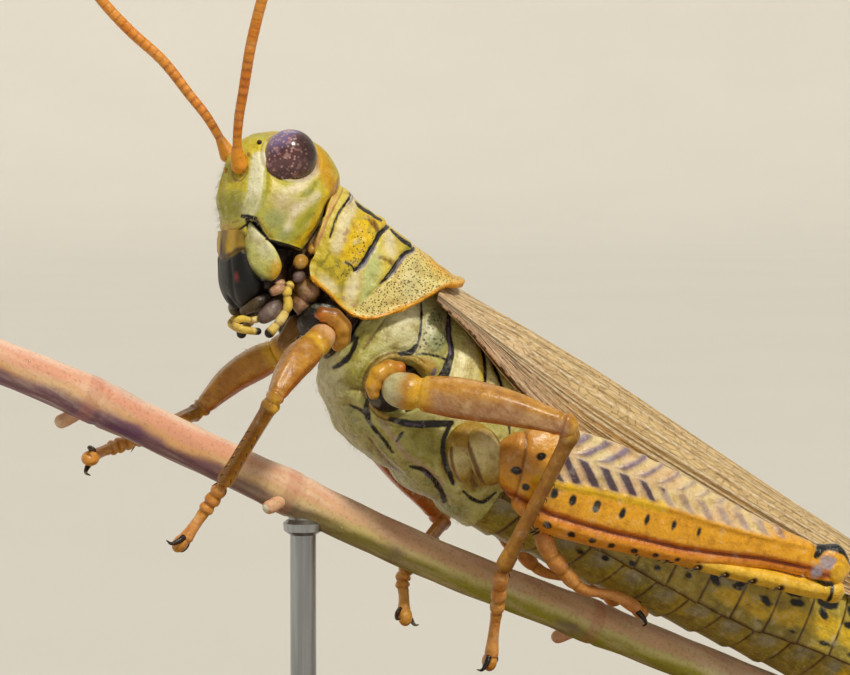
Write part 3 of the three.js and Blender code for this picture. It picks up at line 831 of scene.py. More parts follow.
# ---------- Head ----------

HEAD_FINISH = Cuticle("head_cuticle", 0xD0C648, 0xBFBA3E, (
    Layer("yellow", 0xDCCB30, 0.4, 0.25, 1.4, 0.9),
    Layer("green", 0xA8A82A, 0.25, 0.15, 1.6, 0.85),
    Layer("gold", 0xDCA60C, 0.35, 0.2, 1.3, 0.95),
    Layer("grey", 0xA9B274, 0.3, 0.15, 1.8, 0.85),
    Layer("tan", 0xD6C49A, 0.4, 0.15, 1.8, 0.85),
    # pink: a painted sheen, pale strokes below the eye and down the cheek where it catches the light
    Layer("pink", 0xF8EBCE, 0.24, 0.1, 2.0, 0.85),
    Layer("rim", 0xF4D41C, 0.16, 0.1, 1.8, 0.95),
    Layer("olive", 0x8F8A18, 0.1, 0.08, 2.0, 0.8),
    Layer("band", 0xF0EECB, 0.08, 0.04, 1.8, 0.95),
    Layer("band_low", 0xD9DC94, 0.5, 0.1, 1.8, 0.8),
    Layer("blush", 0xC08A50, 0.07, 0.05, 2.0, 0.85),
    Layer("orbit", 0xEFE6D6, 0.03, amount=0.9),
    Layer("brown", 0x96601E, 0.06, 0.03, amount=0.85),
    Layer("dark", 0x1C1008, 0.04, 0.02),
), mottle=0.4)
JAW_FINISH = Cuticle("jaw_cuticle", 0xDADA80, 0xCCCC58, (
    Layer("cream", 0xF4F0CC, 0.3, 0.1, 1.6, 0.95),
    Layer("gold", 0xE8B01C, 0.3, 0.15, amount=0.95),
    Layer("dark", 0x10121E, 0.14, 0.05),
))
LIP_FINISH = Cuticle("lip_cuticle", 0xA88A2C, 0x8A6E26, (
    Layer("gold", 0xD8B030, 0.2, 0.12, amount=0.9),
    Layer("brown", 0x4A3014, 0.12, 0.05, amount=0.9),
    Layer("black", 0x040406, 0.1, 0.05),
    # red: a painted reddish glint on the dark lip
    Layer("red", 0xA03A26, 0.1, 0.06, amount=0.6),
), roughness=0.45, coat=0.05, mottle=0.0, depth=0.015)
MOUTH_FINISH = Cuticle("mouth_cuticle", 0x1C110B, 0x38200F, (
    Layer("pale", 0xDDB08C, 0.14, 0.14, amount=0.85),
    Layer("amber", 0xC8963A, 0.2, 0.14, amount=0.9),
    Layer("umber", 0x5A4A2C, 0.2, 0.1, amount=0.9),
    Layer("lavender", 0x85706C, 0.2, 0.14, amount=0.8),
    Layer("honey", 0xD08A20, 0.2, amount=1.0),
), waves=1.1, roughness=0.42, coat=0.15)
PALP_FINISH = Cuticle("palp_cuticle", 0xECCB4C, 0xF2DF9C, (
    Layer("joint", 0x8A5A1A, 0.06, 0.03, amount=0.7),
    Layer("tip", 0x0E0B08, 0.1, 0.04),
))
ANTENNA_FINISH = Cuticle("antenna_cuticle", 0xE8891A, 0xF2A23C, (
    Layer("base", 0xE89A1C, 0.6, 0.2, 1.4, 0.85),
    Layer("stain", 0xA8480E, 0.12, 0.12, 3.0, 0.4),
    Layer("joint", 0xA04C10, 0.05, 0.03, 3.0, 0.4),
), roughness=0.45, coat=0.1, mottle=0.3)


@dataclass(frozen=True)
class EyeFinish:
    """The glassy compound eye: fine facets over dark maroon, with pale points deeper down and a painted lavender
    sheen at its upper front.
    """

    name: str = "eye_glass"

    def make(self) -> bpy.types.Material:
        """Builds the material."""
        graph = Graph(self.name)
        rear = graph.field("rear") + (graph.noise(1.2, 2.0) - 0.5) * 0.8
        colour = graph.mix(rear.step(0.5, -0.7), 0x4C2028, 0x34100C)
        blush = graph.noise(0.8, 3.0).step(0.34, 0.62) * rear.step(-1.0, 0.5)
        colour = graph.mix(blush * 0.6, colour, 0x7E5054)
        # brow: a painted lavender sheen, the sky reflected on the upper front of the eye
        brow = graph.field("brow") + (graph.noise(1.4, 2.0) - 0.5) * 0.7
        colour = graph.mix(brow.step(0.3, -0.4) * 0.8, colour, 0x8C7AB0)
        points = graph.cells(5.0).step(0.4, 0.18) * graph.noise(0.9, 2.0).step(0.3, 0.5)
        colour = graph.mix(points * rear.step(-1.1, 0.3) * 0.8, colour, 0xE0B0A6)
        smudges = graph.noise(3.0, 2.0).step(0.55, 0.66) * rear.step(-0.8, 0.4)
        colour = graph.mix(smudges * 0.55, colour, 0xD09A96)
        facets = graph.cells(22.0, "DISTANCE_TO_EDGE").step(0.0, 0.12)
        return graph.surface(Base_Color=colour, Roughness=graph.noise(3.0) * 0.1 + 0.2,
                             Normal=graph.relief(facets, 0.005), Coat_Weight=0.6, Coat_Roughness=0.13, IOR=1.5)


@dataclass
class Head:
    """The head capsule with its eyes, in the head frame."""

    rows: Line = (
        (0.00, -4.6, -1.0, -1.3, -1.95, 2.5),
        (0.12, -4.8, -0.75, -0.35, -0.7, 2.72),
        (0.28, -4.8, 0.1, 0.2, 0.5, 2.85),
        (0.42, -4.95, 0.9, 0.85, 1.1, 2.78),
        (0.56, -4.86, 1.8, 1.05, 1.85, 2.4),
        (0.70, -4.56, 2.65, 0.75, 2.6, 2.1),
        (0.83, -4.14, 3.25, 0.24, 3.25, 1.8),
        (0.93, -3.74, 3.72, -0.5, 3.72, 1.35),
        (1.00, -3.2, 4.0, -1.1, 4.02, 0.7))
    eye_centre: tuple[float, float, float] = (-2.05, 1.78, 2.75)
    eye_size: tuple[float, float, float] = (1.32, 1.18, 1.35)
    eye_tilt: float = 14.0
    socket: tuple[float, float, float] = (-4.5, 1.05, 2.15)
    carina: Line = ((-3.95, 1.25, 3.0), (-4.27, 1.45, 1.95), (-4.5, 1.58, 1.0), (-4.62, 1.6, 0.3), (-4.6, 1.8,
                                                                                                    -0.1))
    groove: Line = ((-3.5, 2.05, 2.0), (-3.62, 2.28, 1.3), (-3.78, 2.36, 0.8), (-4.02, 2.25, 0.3), (-4.2, 2.05,
                                                                                                    -0.1))
    suture: Line = ((-4.42, 1.7, -0.3), (-4.49, 1.54, -0.52), (-4.67, 1.01, -0.8), (-4.75, 0.5, -0.92), (-4.78, 0,
                                                                                                         -0.95))
    cheek_edge: Line = ((-2.09, -2.7), (-1.72, -3.18), (-1.3, -3.55), (-1.0, -3.8), (-0.6, -4.0), (-0.28, -4.18),
                        (-0.15, -4.3))

    def eye_depth(self, s: Spot) -> Array:
        """How far points are from the eye's middle, where 1 is on its surface."""
        offset = s.near - np.array(self.eye_centre)
        c, d = math.cos(math.radians(self.eye_tilt)), math.sin(math.radians(self.eye_tilt))
        turned = np.stack([offset[:, 0] * c - offset[:, 2] * d, offset[:, 1], offset[:, 0] * d + offset[:, 2] * c],
                          -1)
        return np.linalg.norm(turned / np.array(self.eye_size), axis=1)

    def below_cheek(self, s: Spot) -> Array:
        """How far places are ahead of the cheek's lower edge, where the jaws leave the capsule."""
        return read(self.cheek_edge, s.z) - s.x

    def relief(self, s: Spot) -> Array:
        """Ridges, grooves, the rims of the eyes, the pits of the feelers and the opening of the jaws."""
        near = s.near
        out = near[:, 1]
        costa = step(-s.x, 3.6, 4.3) * step(s.z, -0.6, 0.4) * step(-s.z, -3.7, -2.9)
        height = 0.08 * costa * (bump(out - 0.36 - 0.08 * np.sin(s.z * 1.6), 0.13) - 0.6 * bump(out, 0.24))
        height += 0.10 * bump(to_line(near, self.carina), 0.2)
        height -= 0.08 * bump(to_line(near, self.groove), 0.12)
        height -= 0.07 * bump(to_line(near, self.suture), 0.09)
        height -= 0.28 * bump(np.linalg.norm(near - np.array(self.socket), axis=1), 0.6)
        depth = self.eye_depth(s)
        height += 0.07 * bump(depth - 1.05, 0.05) - 0.05 * bump(depth - 1.16, 0.06)
        height -= 0.06 * bump(to_line(s.side, [(0.3, 1.9), (-0.15, 0.6), (-0.75, -0.5), (-1.5, -1.35)]), 0.08)
        height += 0.07 * bump(to_line(s.side, [(-0.95, 0.9), (-1.6, 0.1), (-2.3, -0.9)]), 0.4)
        height -= 0.10 * bump(to_patch(s.side, -2.8, 0.4, 0.4, 0.9, -20), 0.5)
        hollow = step(self.below_cheek(s), -0.02, 0.16) * step(-s.z, 0.28, 0.45) * step(out, 1.5, 1.75)
        return (height - 0.5 * hollow * step(-s.x, 2.3, 2.7)) * step(s.v, 0.0, 0.03)

    def paint(self) -> dict[str, Field]:
        """The painted fields of the capsule."""
        seams = marks((self.suture, 0.055), (((-4.56, 1.4, -0.08), (-4.37, 1.75, -0.13), (-4.13, 2.09, -0.23)),
                                             0.1),
                      (((-4.38, 1.75, -0.15), (-4.42, 1.68, -0.42)), 0.14),
                      (((-4.13, 2.09, -0.25), (-3.98, 2.2, -0.6), (-3.8, 2.29, -1.0), (-3.5, 2.4, -1.4), (-3.05,
                                                                                                          2.4,
                                                                                                          -1.9)),
                       0.07))

        def dark(s: Spot) -> Array:
            """Sutures, plus painted shade in the opening of the jaws and on the lower margin, where the capsule is
            closed.
            """
            hollow = np.maximum(0.06 - self.below_cheek(s), np.maximum(s.z + 0.32, 1.6 - np.abs(s.y)))
            return np.minimum.reduce([seams(s), np.maximum(hollow, s.x + 2.4), np.where(s.v < 0.012, -0.2,
                                                                                        NOTHING)])

        def brown(s: Spot) -> Array:
            """The groove below the eye, the feeler's pit, the cheek's edge and the line before the collar."""
            pit = np.abs(np.linalg.norm(s.near - np.array(self.socket), axis=1) - 0.5) - 0.05
            lines = marks((((-4.05, 2.15, -0.25), (-3.7, 2.35, -0.85), (-3.35, 2.42, -1.3), (-2.9, 2.4, -1.7)),
                           0.07),
                          (((-4.0, 1.18, 2.92), (-3.9, 1.36, 2.68)), 0.08), (((-4.75, 0.7, -0.36), (-4.62, 1.3,
                                                                                                    -0.28)), 0.04),
                          (((0.55, 1.75), (0.05, 0.6), (-0.5, -0.4), (-1.2, -1.35)), 0.05))
            return np.minimum.reduce([pit, lines(s), np.maximum(np.abs(self.eye_depth(s) - 1.03) - 0.02,
                                                                -3.1 - s.x)])

        band = marks((((-3.64, 1.65, 2.75), (-3.8, 1.75, 2.3), (-3.97, 1.87, 1.6), (-4.1, 2.02, 1.0), (-4.26, 1.93,
                                                                                                       0.44),
                       (-4.36, 1.75, 0.1)), 0.36))
        return {
            "dark": dark,
            "brown": brown,
            "yellow": marks((-4.85, 1.4, 0.45, 0.7, 0), (-3.7, 3.3, 0.9, 0.7, 20), (-3.35, 1.3, 0.35, 0.5, 10)),
            "green": marks((-4.8, 0.5, 0.4, 0.6, 0), (((-1.6, 0.05), (-1.79, -0.28), (-2.34, -0.7), (-2.75, -1.1)),
                                                      0.16),
                           (-3.0, 3.9, 0.5, 0.2, 0), (self.groove, 0.1)),
            "gold": marks((-0.25, 2.0, 0.62, 1.5, 12), (-1.0, 4.15, 1.5, 0.45, 0), (-5.0, -0.75, 0.4, 0.3, 0)),
            "grey": marks((-3.3, -0.3, 0.5, 0.45, -20), (-2.9, -1.0, 0.3, 0.3, 0)),
            "tan": marks((-2.95, 0.6, 0.5, 0.5, -20), (-2.4, 0.3, 0.4, 0.4, 0)),
            # painted sheen: pale strokes below the eye and down the cheek, where the cheek catches the light
            "pink": marks((((-1.0, 2.05), (-1.45, 1.75), (-1.81, 1.48), (-2.36, 1.15)), 0.22),
                          (((-1.15, 0.85), (-1.4, 0.69), (-1.95, 0.34), (-2.45, -0.15), (-2.7, -0.67)), 0.15)),
            "rim": marks((((-0.55, 0.8), (-0.75, 0.45), (-1.05, -0.35), (-1.64, -1.2), (-2.3, -1.75)), 0.27)),
            "olive": marks((-1.6, 1.0, 0.42, 0.17, 38), (-1.15, 1.35, 0.25, 0.12, 40)),
            "band": band,
            "band_low": lambda s: np.maximum(band(s), s.z - 0.7),
            "blush": marks((((0.4, 1.5), (-0.25, 0.6), (-0.7, -0.26), (-1.25, -1.17)), 0.13)),
            "orbit": lambda s: np.abs(self.eye_depth(s) - 1.08) - 0.025,
        }

    def capsule(self) -> Skin:
        """The skin of the head capsule."""
        return Skin(stack_surface(self.rows, 2.15, 2.4, dome=0.07), Place.HEAD, 200, 140, self.relief, self.paint())

    def build(self) -> None:
        """The capsule, its three simple eyes and the compound eyes, drawn out at their lower front corner."""
        dress(build("head_capsule", self.capsule()), HEAD_FINISH, "head_cuticle", "head")
        for name, spot in (("left", (-3.42, -1.2, 3.5)), ("right", (-3.42, 1.2, 3.5)), ("middle", (-4.68, 0, 2.2))):
            simple = ball(f"simple_eye_{name}", np.array(spot), (0.13, 0.13, 0.13), Place.HEAD, Matrix.Identity(3),
                          rings=16)
            paint(simple, "honey", np.full(len(simple.data.vertices), -NOTHING if name == "middle" else NOTHING))
            dress(simple, MOUTH_FINISH, "eye")

        def corner(spot: Array) -> Array:
            """Draws the lower front corner of the eye out."""
            return spot * (1 + 0.15 * float(step(np.array(spot @ np.array([-0.515, 0, -0.857])), 0.68, 1.0)))

        for name, side in (("left", -1), ("right", 1)):
            centre = np.array(self.eye_centre) * (1, side, 1)
            turn = Matrix.Rotation(math.radians(self.eye_tilt), 3, "Y")
            eye = ball(f"compound_eye_{name}", centre, self.eye_size, Place.HEAD, turn, corner, 96)
            spots = np.array([vert.co for vert in eye.data.vertices]) / MM - Place.HEAD.to_model(centre)
            # brow marks where the painted lavender sheen lies, on the eye's upper front
            paint(eye, "brow", 1.0 - spots[:, 2] + 0.7 * spots[:, 0])
            paint(eye, "rear", -spots[:, 0])
            dress(eye, EyeFinish(), "eye", f"eye_{name}")


@dataclass
class Feelers:
    """The two antennae, ringed by many short joints, in the head frame."""

    left: Line = ((-4.32, -0.98, 2.0), (-4.58, -1.15, 3.0), (-4.68, -1.7, 4.56), (-4.62, -2.3, 6.0), (-4.55, -3.05,
                                                                                                      7.8),
                  (-4.37, -3.65, 9.3), (-4.0, -4.6, 11.6), (-3.6, -5.5, 13.9), (-3.3, -6.0, 15.3))
    right: Line = ((-4.1, 0.75, 2.65), (-4.5, 0.9, 3.6), (-5.12, 1.25, 4.9), (-5.85, 1.6, 6.0), (-7.0, 2.1, 7.7),
                   (-8.5, 2.55, 9.2), (-9.7, 2.9, 10.6), (-10.7, 3.25, 12.1), (-11.4, 3.45, 13.5))
    sizes: Line = ((0, 0.42), (0.03, 0.42), (0.06, 0.34), (0.09, 0.25), (0.1, 0.22), (0.2, 0.24), (0.5, 0.27),
                   (0.8, 0.26), (0.95, 0.21), (1, 0.12))
    lash: float = 1.9
    pitch: float = 0.42

    def build(self) -> None:
        """Both feelers: a stout tapered first joint and the ringed lash."""
        for name, line in (("left", self.left), ("right", self.right)):
            limb = Limb(line, self.sizes, bunch=0.1)

            def joint(s: Spot, limb: Limb = limb) -> Array:
                """The distance to the nearest joint, in mm."""
                along = limb.along(s)
                rings = np.abs((along - self.lash + self.pitch / 2) % self.pitch - self.pitch / 2)
                return np.where(along > self.lash - 0.1, rings, np.abs(along - 1.35))

            fields = {
                "joint": lambda s: joint(s) - 0.04,
                "stain": lambda s: np.maximum(joint(s) - 0.1, limb.along(s) - 6.0),
                "base": lambda s: limb.along(s) - 2.2,
            }
            skin = limb.skin(24, 480, lambda s: -0.01 * bump(joint(s), 0.06), fields, Place.HEAD)
            dress(build(f"feeler_{name}", skin), ANTENNA_FINISH, "antenna", f"antenna_{name}")


@dataclass
class Mouth:
    """The upper lip, the jaws, the lobes behind them and the palps, in the head frame."""

    lip_rows: Line = (
        (0.00, -4.32, -4.64, -3.9, -4.5, 0.62),
        (0.15, -4.74, -4.15, -3.35, -4.0, 1.25),
        (0.40, -5.04, -3.3, -3.1, -3.3, 1.58),
        (0.62, -5.05, -2.35, -3.5, -2.4, 1.5),
        (0.85, -5.0, -1.4, -4.1, -1.4, 1.35),
        (1.00, -4.9, -0.72, -4.1, -0.75, 1.4))
    jaw_outline: Line = (
        (-4.2, -0.4), (-4.02, -0.6), (-3.77, -0.95), (-3.42, -1.45), (-3.05, -2.05), (-2.88, -2.65), (-3.1, -3.1),
        (-3.52, -3.3), (-3.9, -3.12), (-4.2, -2.68), (-4.42, -2.2), (-4.46, -1.6), (-4.38, -0.9))
    throat_rows: Line = (
        (0.00, -3.3, -4.75, -2.7, -4.7, 0.5),
        (0.25, -3.5, -4.2, -2.2, -4.1, 1.1),
        (0.60, -3.9, -3.1, -1.8, -3.0, 1.4),
        (1.00, -3.9, -1.7, -1.3, -1.6, 1.4))
    lobes: tuple[tuple[Line, tuple[float, float, float], str], ...] = (
        (((-2.55, 1.5, -3.5), (-3.0, 1.92, -3.66), (-3.42, 1.8, -3.86)), (0.24, 0.26, 0.2), "pale"),
        (((-2.6, 1.7, -3.3), (-2.85, 1.95, -3.38), (-3.15, 1.9, -3.5)), (0.16, 0.17, 0.13), "pale"),
        (((-1.45, 1.5, -2.25), (-1.86, 2.0, -2.42), (-2.12, 1.95, -2.62)), (0.3, 0.36, 0.26), "amber"),
        (((-1.6, 1.5, -2.95), (-1.94, 1.95, -3.1), (-2.2, 1.88, -3.22)), (0.24, 0.3, 0.2), "lavender"),
        (((-0.9, 1.6, -1.65), (-1.15, 1.95, -1.8), (-1.35, 1.9, -1.9)), (0.2, 0.24, 0.16), "amber"),
        (((-3.2, 1.2, -3.95), (-3.9, 1.3, -4.35), (-4.35, 0.45, -4.72)), (0.28, 0.3, 0.2), "umber"),
        (((-2.65, 1.4, -4.2), (-3.25, 1.62, -4.72), (-3.85, 1.4, -5.2)), (0.32, 0.42, 0.26), "lavender"),
        (((-2.4, 0.4, -3.9), (-2.75, 0.5, -4.6), (-3.1, 0.4, -5.0)), (0.45, 0.5, 0.35), "plain"))
    outer_palp: Line = (
        (-2.2, -1.75, -3.3), (-2.52, -1.92, -3.9), (-2.5, -1.95, -4.45), (-2.78, -1.93, -5.0), (-3.2, -1.85, -5.5),
        (-3.6, -1.7, -5.95))
    inner_palp: Line = (
        (-3.3, -1.05, -5.0), (-4.1, -1.22, -5.12), (-4.75, -1.3, -5.05), (-5.05, -1.35, -5.28), (-4.68, -1.4,
                                                                                                 -5.55),
        (-3.75, -1.5, -5.7))
    far_shift: tuple[float, float, float] = (0.75, -0.25, 0.05)

    def seam(self, s: Spot) -> Array:
        """How far places are above the seam across the lip."""
        return s.z + 2.12 - 0.2 * s.y ** 2

    def lip_relief(self, s: Spot) -> Array:
        """The seam across the lip, its notch and the low ridges of its upper plate."""
        out = np.abs(s.y)
        height = -0.09 * bump(self.seam(s), 0.09) - 0.25 * bump(out, 0.22) * step(-s.z, 3.6, 4.4)
        height -= 0.06 * bump(to_line(s.near[:, 1:], [(0.75, -2.2), (0.85, -3.2), (0.6, -4.1)]), 0.14)
        return height + 0.04 * np.sin(out * 6.0) * step(s.z, -2.0, -1.6) * step(-s.z, 0.8, 1.2)

    def build_lip(self) -> None:
        """The upper lip and the plate above it."""
        fields = {
            "gold": lambda s: np.maximum(-self.seam(s), np.abs(np.abs(s.y) - 0.8) - 0.35),
            "brown": lambda s: np.minimum(np.abs(self.seam(s) - 0.12) - 0.1,
                                          np.abs(np.abs(s.y) - 0.15) + s.z * 0.2 + 0.2),
            "black": self.seam,
            # red: a small painted glint on each side of the lip
            "red": lambda s: to_patch(np.stack([np.abs(s.y), s.z], -1), 1.15, -3.0, 0.12, 0.2, 0),
        }
        skin = Skin(stack_surface(self.lip_rows, 2.3, 2.3), Place.HEAD, 120, 90, self.lip_relief, fields)
        dress(build("upper_lip", skin), LIP_FINISH, "mouthparts", "labrum")

    def build_jaws(self) -> None:
        """The two jaws, pale cushions with dark cutting edges."""
        flat = pillow_surface(self.jaw_outline, -2.68, -1.2, 0.42)
        edge = ((-4.66, -1.75), (-4.62, -2.4), (-4.32, -2.9), (-4.0, -3.25), (-3.6, -3.45))
        fields = {
            "cream": marks((-4.0, -1.0, 0.28, 0.6, 18), (-3.75, -1.6, 0.25, 0.5, 18)),
            "gold": marks((-3.2, -2.75, 0.36, 0.5, -15)),
            "dark": lambda s: np.minimum(to_line(s.side, edge, 0.3), np.abs(s.y) - 0.72),
        }
        for name, side in (("left", 1), ("right", -1)):
            def surface(u: Array, v: Array, side: int = side) -> Array:
                """Turns the front edge in towards the lip, on one side or the other."""
                spot = flat(u, v)
                spot[:, 1] *= side * (1 - 0.42 * np.maximum(0, -3.4 - spot[:, 0]))
                return spot

            skin = Skin(surface, Place.HEAD, 90, 60, lambda s: 0.05 * bump(to_line(s.side, [(-4.1, -0.6), (-3.5,
                                                                                                           -2.4)]),
                                                                                                           0.4),
                        fields)
            dress(build(f"jaw_{name}", skin), JAW_FINISH, "mouthparts", f"mandible_{name}")

    def build_throat(self) -> None:
        """The dark parts behind the jaws, with the lobes and the bases of the palps."""
        skins = [Skin(stack_surface(self.throat_rows, 2.4, 2.4), Place.HEAD, 60, 40,
                      lambda s: 0.06 * np.sin(s.z * 5.0))]
        for side in (-1, 1):
            for line, sizes, colour in self.lobes:
                limb = Limb(flipped(line, side), tuple(zip((0, 0.5, 1), sizes)))
                shade = (lambda s: 0.42 - s.v) if colour == "umber" else (lambda s: np.abs(s.v - 0.6) - 0.26)
                skins.append(limb.skin(32, 28, None, {colour: shade}, Place.HEAD))
        dress(build("throat", *skins), MOUTH_FINISH, "mouthparts", "maxillae")

    def build_palps(self) -> None:
        """The outer palps of five joints and the inner ones of three."""
        for kind, line, shares, girth in (("maxillary", self.outer_palp, (0, 0.12, 0.26, 0.5, 0.74, 1), 0.23),
                                          ("labial", self.inner_palp, (0, 0.28, 0.55, 1), 0.165)):
            for name, side in (("left", 1), ("right", -1)):
                spots = flipped(line, side)
                if kind == "labial" and name == "right":
                    spots = [tuple(np.add(spot, self.far_shift)) for spot in spots]
                limb = Limb(spots, jointed(shares, girth, girth + 0.02), bunch=0.2)
                fields = {
                    "joint": lambda s: limb.from_joints(s, shares[1:-1]) - 0.05,
                    "tip": lambda s: limb.length - limb.along(s) - 0.32,
                }
                dress(build(f"{kind}_feeler_{name}", limb.skin(28, 110, None, fields, Place.HEAD)), PALP_FINISH,
                      "palp", f"{kind}_palp_{name}")

    def build(self) -> None:
        """All the mouthparts."""
        self.build_lip()
        self.build_jaws()
        self.build_throat()
        self.build_palps()


# ---------- Neck and shield ----------

NECK_FINISH = Cuticle("neck_membrane", 0x2E1A10, 0x4A2C18, (
    Layer("gold", 0x9A7034, 0.12, 0.08, amount=0.9),
    # blush: a painted pinkish highlight along the neck's lobes
    Layer("blush", 0xC09A84, 0.12, 0.1, amount=0.6),
    # dark: painted shade in the neck's folds
    Layer("dark", 0x140A06, 0.1, 0.04),
), waves=1.4, roughness=0.5, coat=0.05, depth=0.05)

SHIELD_FINISH = Cuticle("pronotum_shell", 0xE6D258, 0xD6BE3E, (
    Layer("yellow", 0xF4CC08, 0.25, 0.2, 1.6),
    Layer("yellow", 0xC2A81C, 0.3, 0.3, 1.6, 0.8, Pattern.SPECKS, 1.9),
    Layer("lobe", 0xD6C028, 0.3, 0.2, 1.6, 0.9),
    Layer("lobe", 0x8A7A18, 0.3, 0.2, 1.6, 0.6, Pattern.SPECKS, 2.6),
    Layer("pits", 0x4A4210, 0.25, 0.1, 1.4, 0.9, Pattern.PITS, 6.6),
    Layer("cream", 0xF4E8BC, 0.2, 0.12, 2.0, 0.85),
    Layer("specks", 0xC09078, 0.12, 0.1, 2.0, 0.75, Pattern.SPECKS, 3.4),
    Layer("white", 0xF8EEC8, 0.24, 0.12, 2.0, 0.85),
    Layer("mint", 0xCFD88E, 0.2, 0.12, 1.6, 0.95),
    Layer("straw", 0xF0DE8C, 0.18, 0.1, 1.6),
    Layer("amber", 0xF2B626, 0.4, 0.15, 1.6, 0.9),
    Layer("mist", 0xC9C9A4, 0.4, 0.15, 1.6, 0.4),
    Layer("straw", 0x5A4C1A, 0.1, 0.0, 1.6, 0.85, Pattern.PITS, 8.5),
    Layer("olive", 0x8A8E24, 0.12, 0.1, 2.4, 0.8),
    Layer("rim", 0xF4AE1C, 0.06, 0.03),
    Layer("collar", 0xB07A34, 0.04, 0.03, 2.5, 0.8),
    Layer("blush", 0xE2AE74, 0.08, 0.05, 2.5, 0.8),
    Layer("rust", 0x74401A, 0.1, 0.1, 3.0, 0.9),
    Layer("dark", 0x14100E, 0.03, 0.07, 3.5),
    # bloom: a painted lavender sheen, the sky reflected in the grooves
    Layer("bloom", 0x8A82AC, 0.04, 0.04, 2.8, 0.85),
), mottle=0.45, pits="straw", pit_grain=8.5, pit_depth=0.03)


@dataclass
class Neck:
    """The soft neck and first segment, which show in the gap before and below the shield."""

    rows: Line = ((-8.9, -0.6, -4.6, 1.6, 0.5, 2, 2), (-7.8, 0.0, -5.0, 2.05, 0.5, 2, 2),
                  (-6.0, 0.1, -6.0, 2.25, 0.45, 2, 2), (-4.25, -0.1, -6.9, 2.3, 0.45, 2, 2))
    lobes: tuple[tuple[Line, float], ...] = (
        (((-7.75, 1.5, -4.2), (-7.2, 1.95, -4.45), (-6.5, 2.1, -4.6)), 0.5),
        (((-7.6, 1.3, -4.9), (-7.1, 1.8, -5.2), (-6.6, 1.9, -5.4)), 0.4))

    def build(self) -> None:
        """The folded skin with painted shade in its folds, its small golden plates, the lobes with a painted
        highlight, and the peg between the fore legs.
        """
        fields = {
            "gold": marks((-8.3, -2.6, 0.3, 0.5, 20), (-8.0, -3.4, 0.35, 0.3, 0), (-7.6, -4.3, 0.5, 0.25, 30),
                          (-5.3, -5.6, 0.7, 0.35, 20)),
            # dark: painted shade, stripes that run in the folds of the relief
            "dark": lambda s: np.abs((s.x * 1.4 + 0.3 * np.sin(s.z * 2.2)) % 1.0 - 0.5) - 0.1,
        }
        folds = Skin(trunk_surface(self.rows), Place.BODY, 120, 90,
                     lambda s: 0.07 * np.sin(s.x * 8.8 + 1.9 * np.sin(s.z * 2.2)) - 0.08, fields)
        peg = Limb(((-6.3, 0, -5.6), (-6.4, 0, -6.6), (-6.5, 0, -7.5)), ((0, 0.55), (0.5, 0.42), (1, 0.26)))
        skins = [folds, peg.skin(28, 30, None, {"gold": lambda s: -0.2 + 0 * s.u})]
        for side in (-1, 1):
            for line, size in self.lobes:
                lobe = Limb(flipped(line, side), ((0, size), (0.5, size * 1.15), (1, size * 0.8)))
                # blush: a painted pinkish highlight along each lobe
                skins.append(lobe.skin(36, 36, lambda s: 0.03 * np.sin(s.x * 9 + 3 * s.z), {
                    "gold": lambda s: np.abs(s.v - 0.5) - 0.3, "blush": lambda s: np.abs(s.v - 0.62) - 0.1}))
        dress(build("neck_skin", *skins), NECK_FINISH, "neck_membrane", "prothorax")


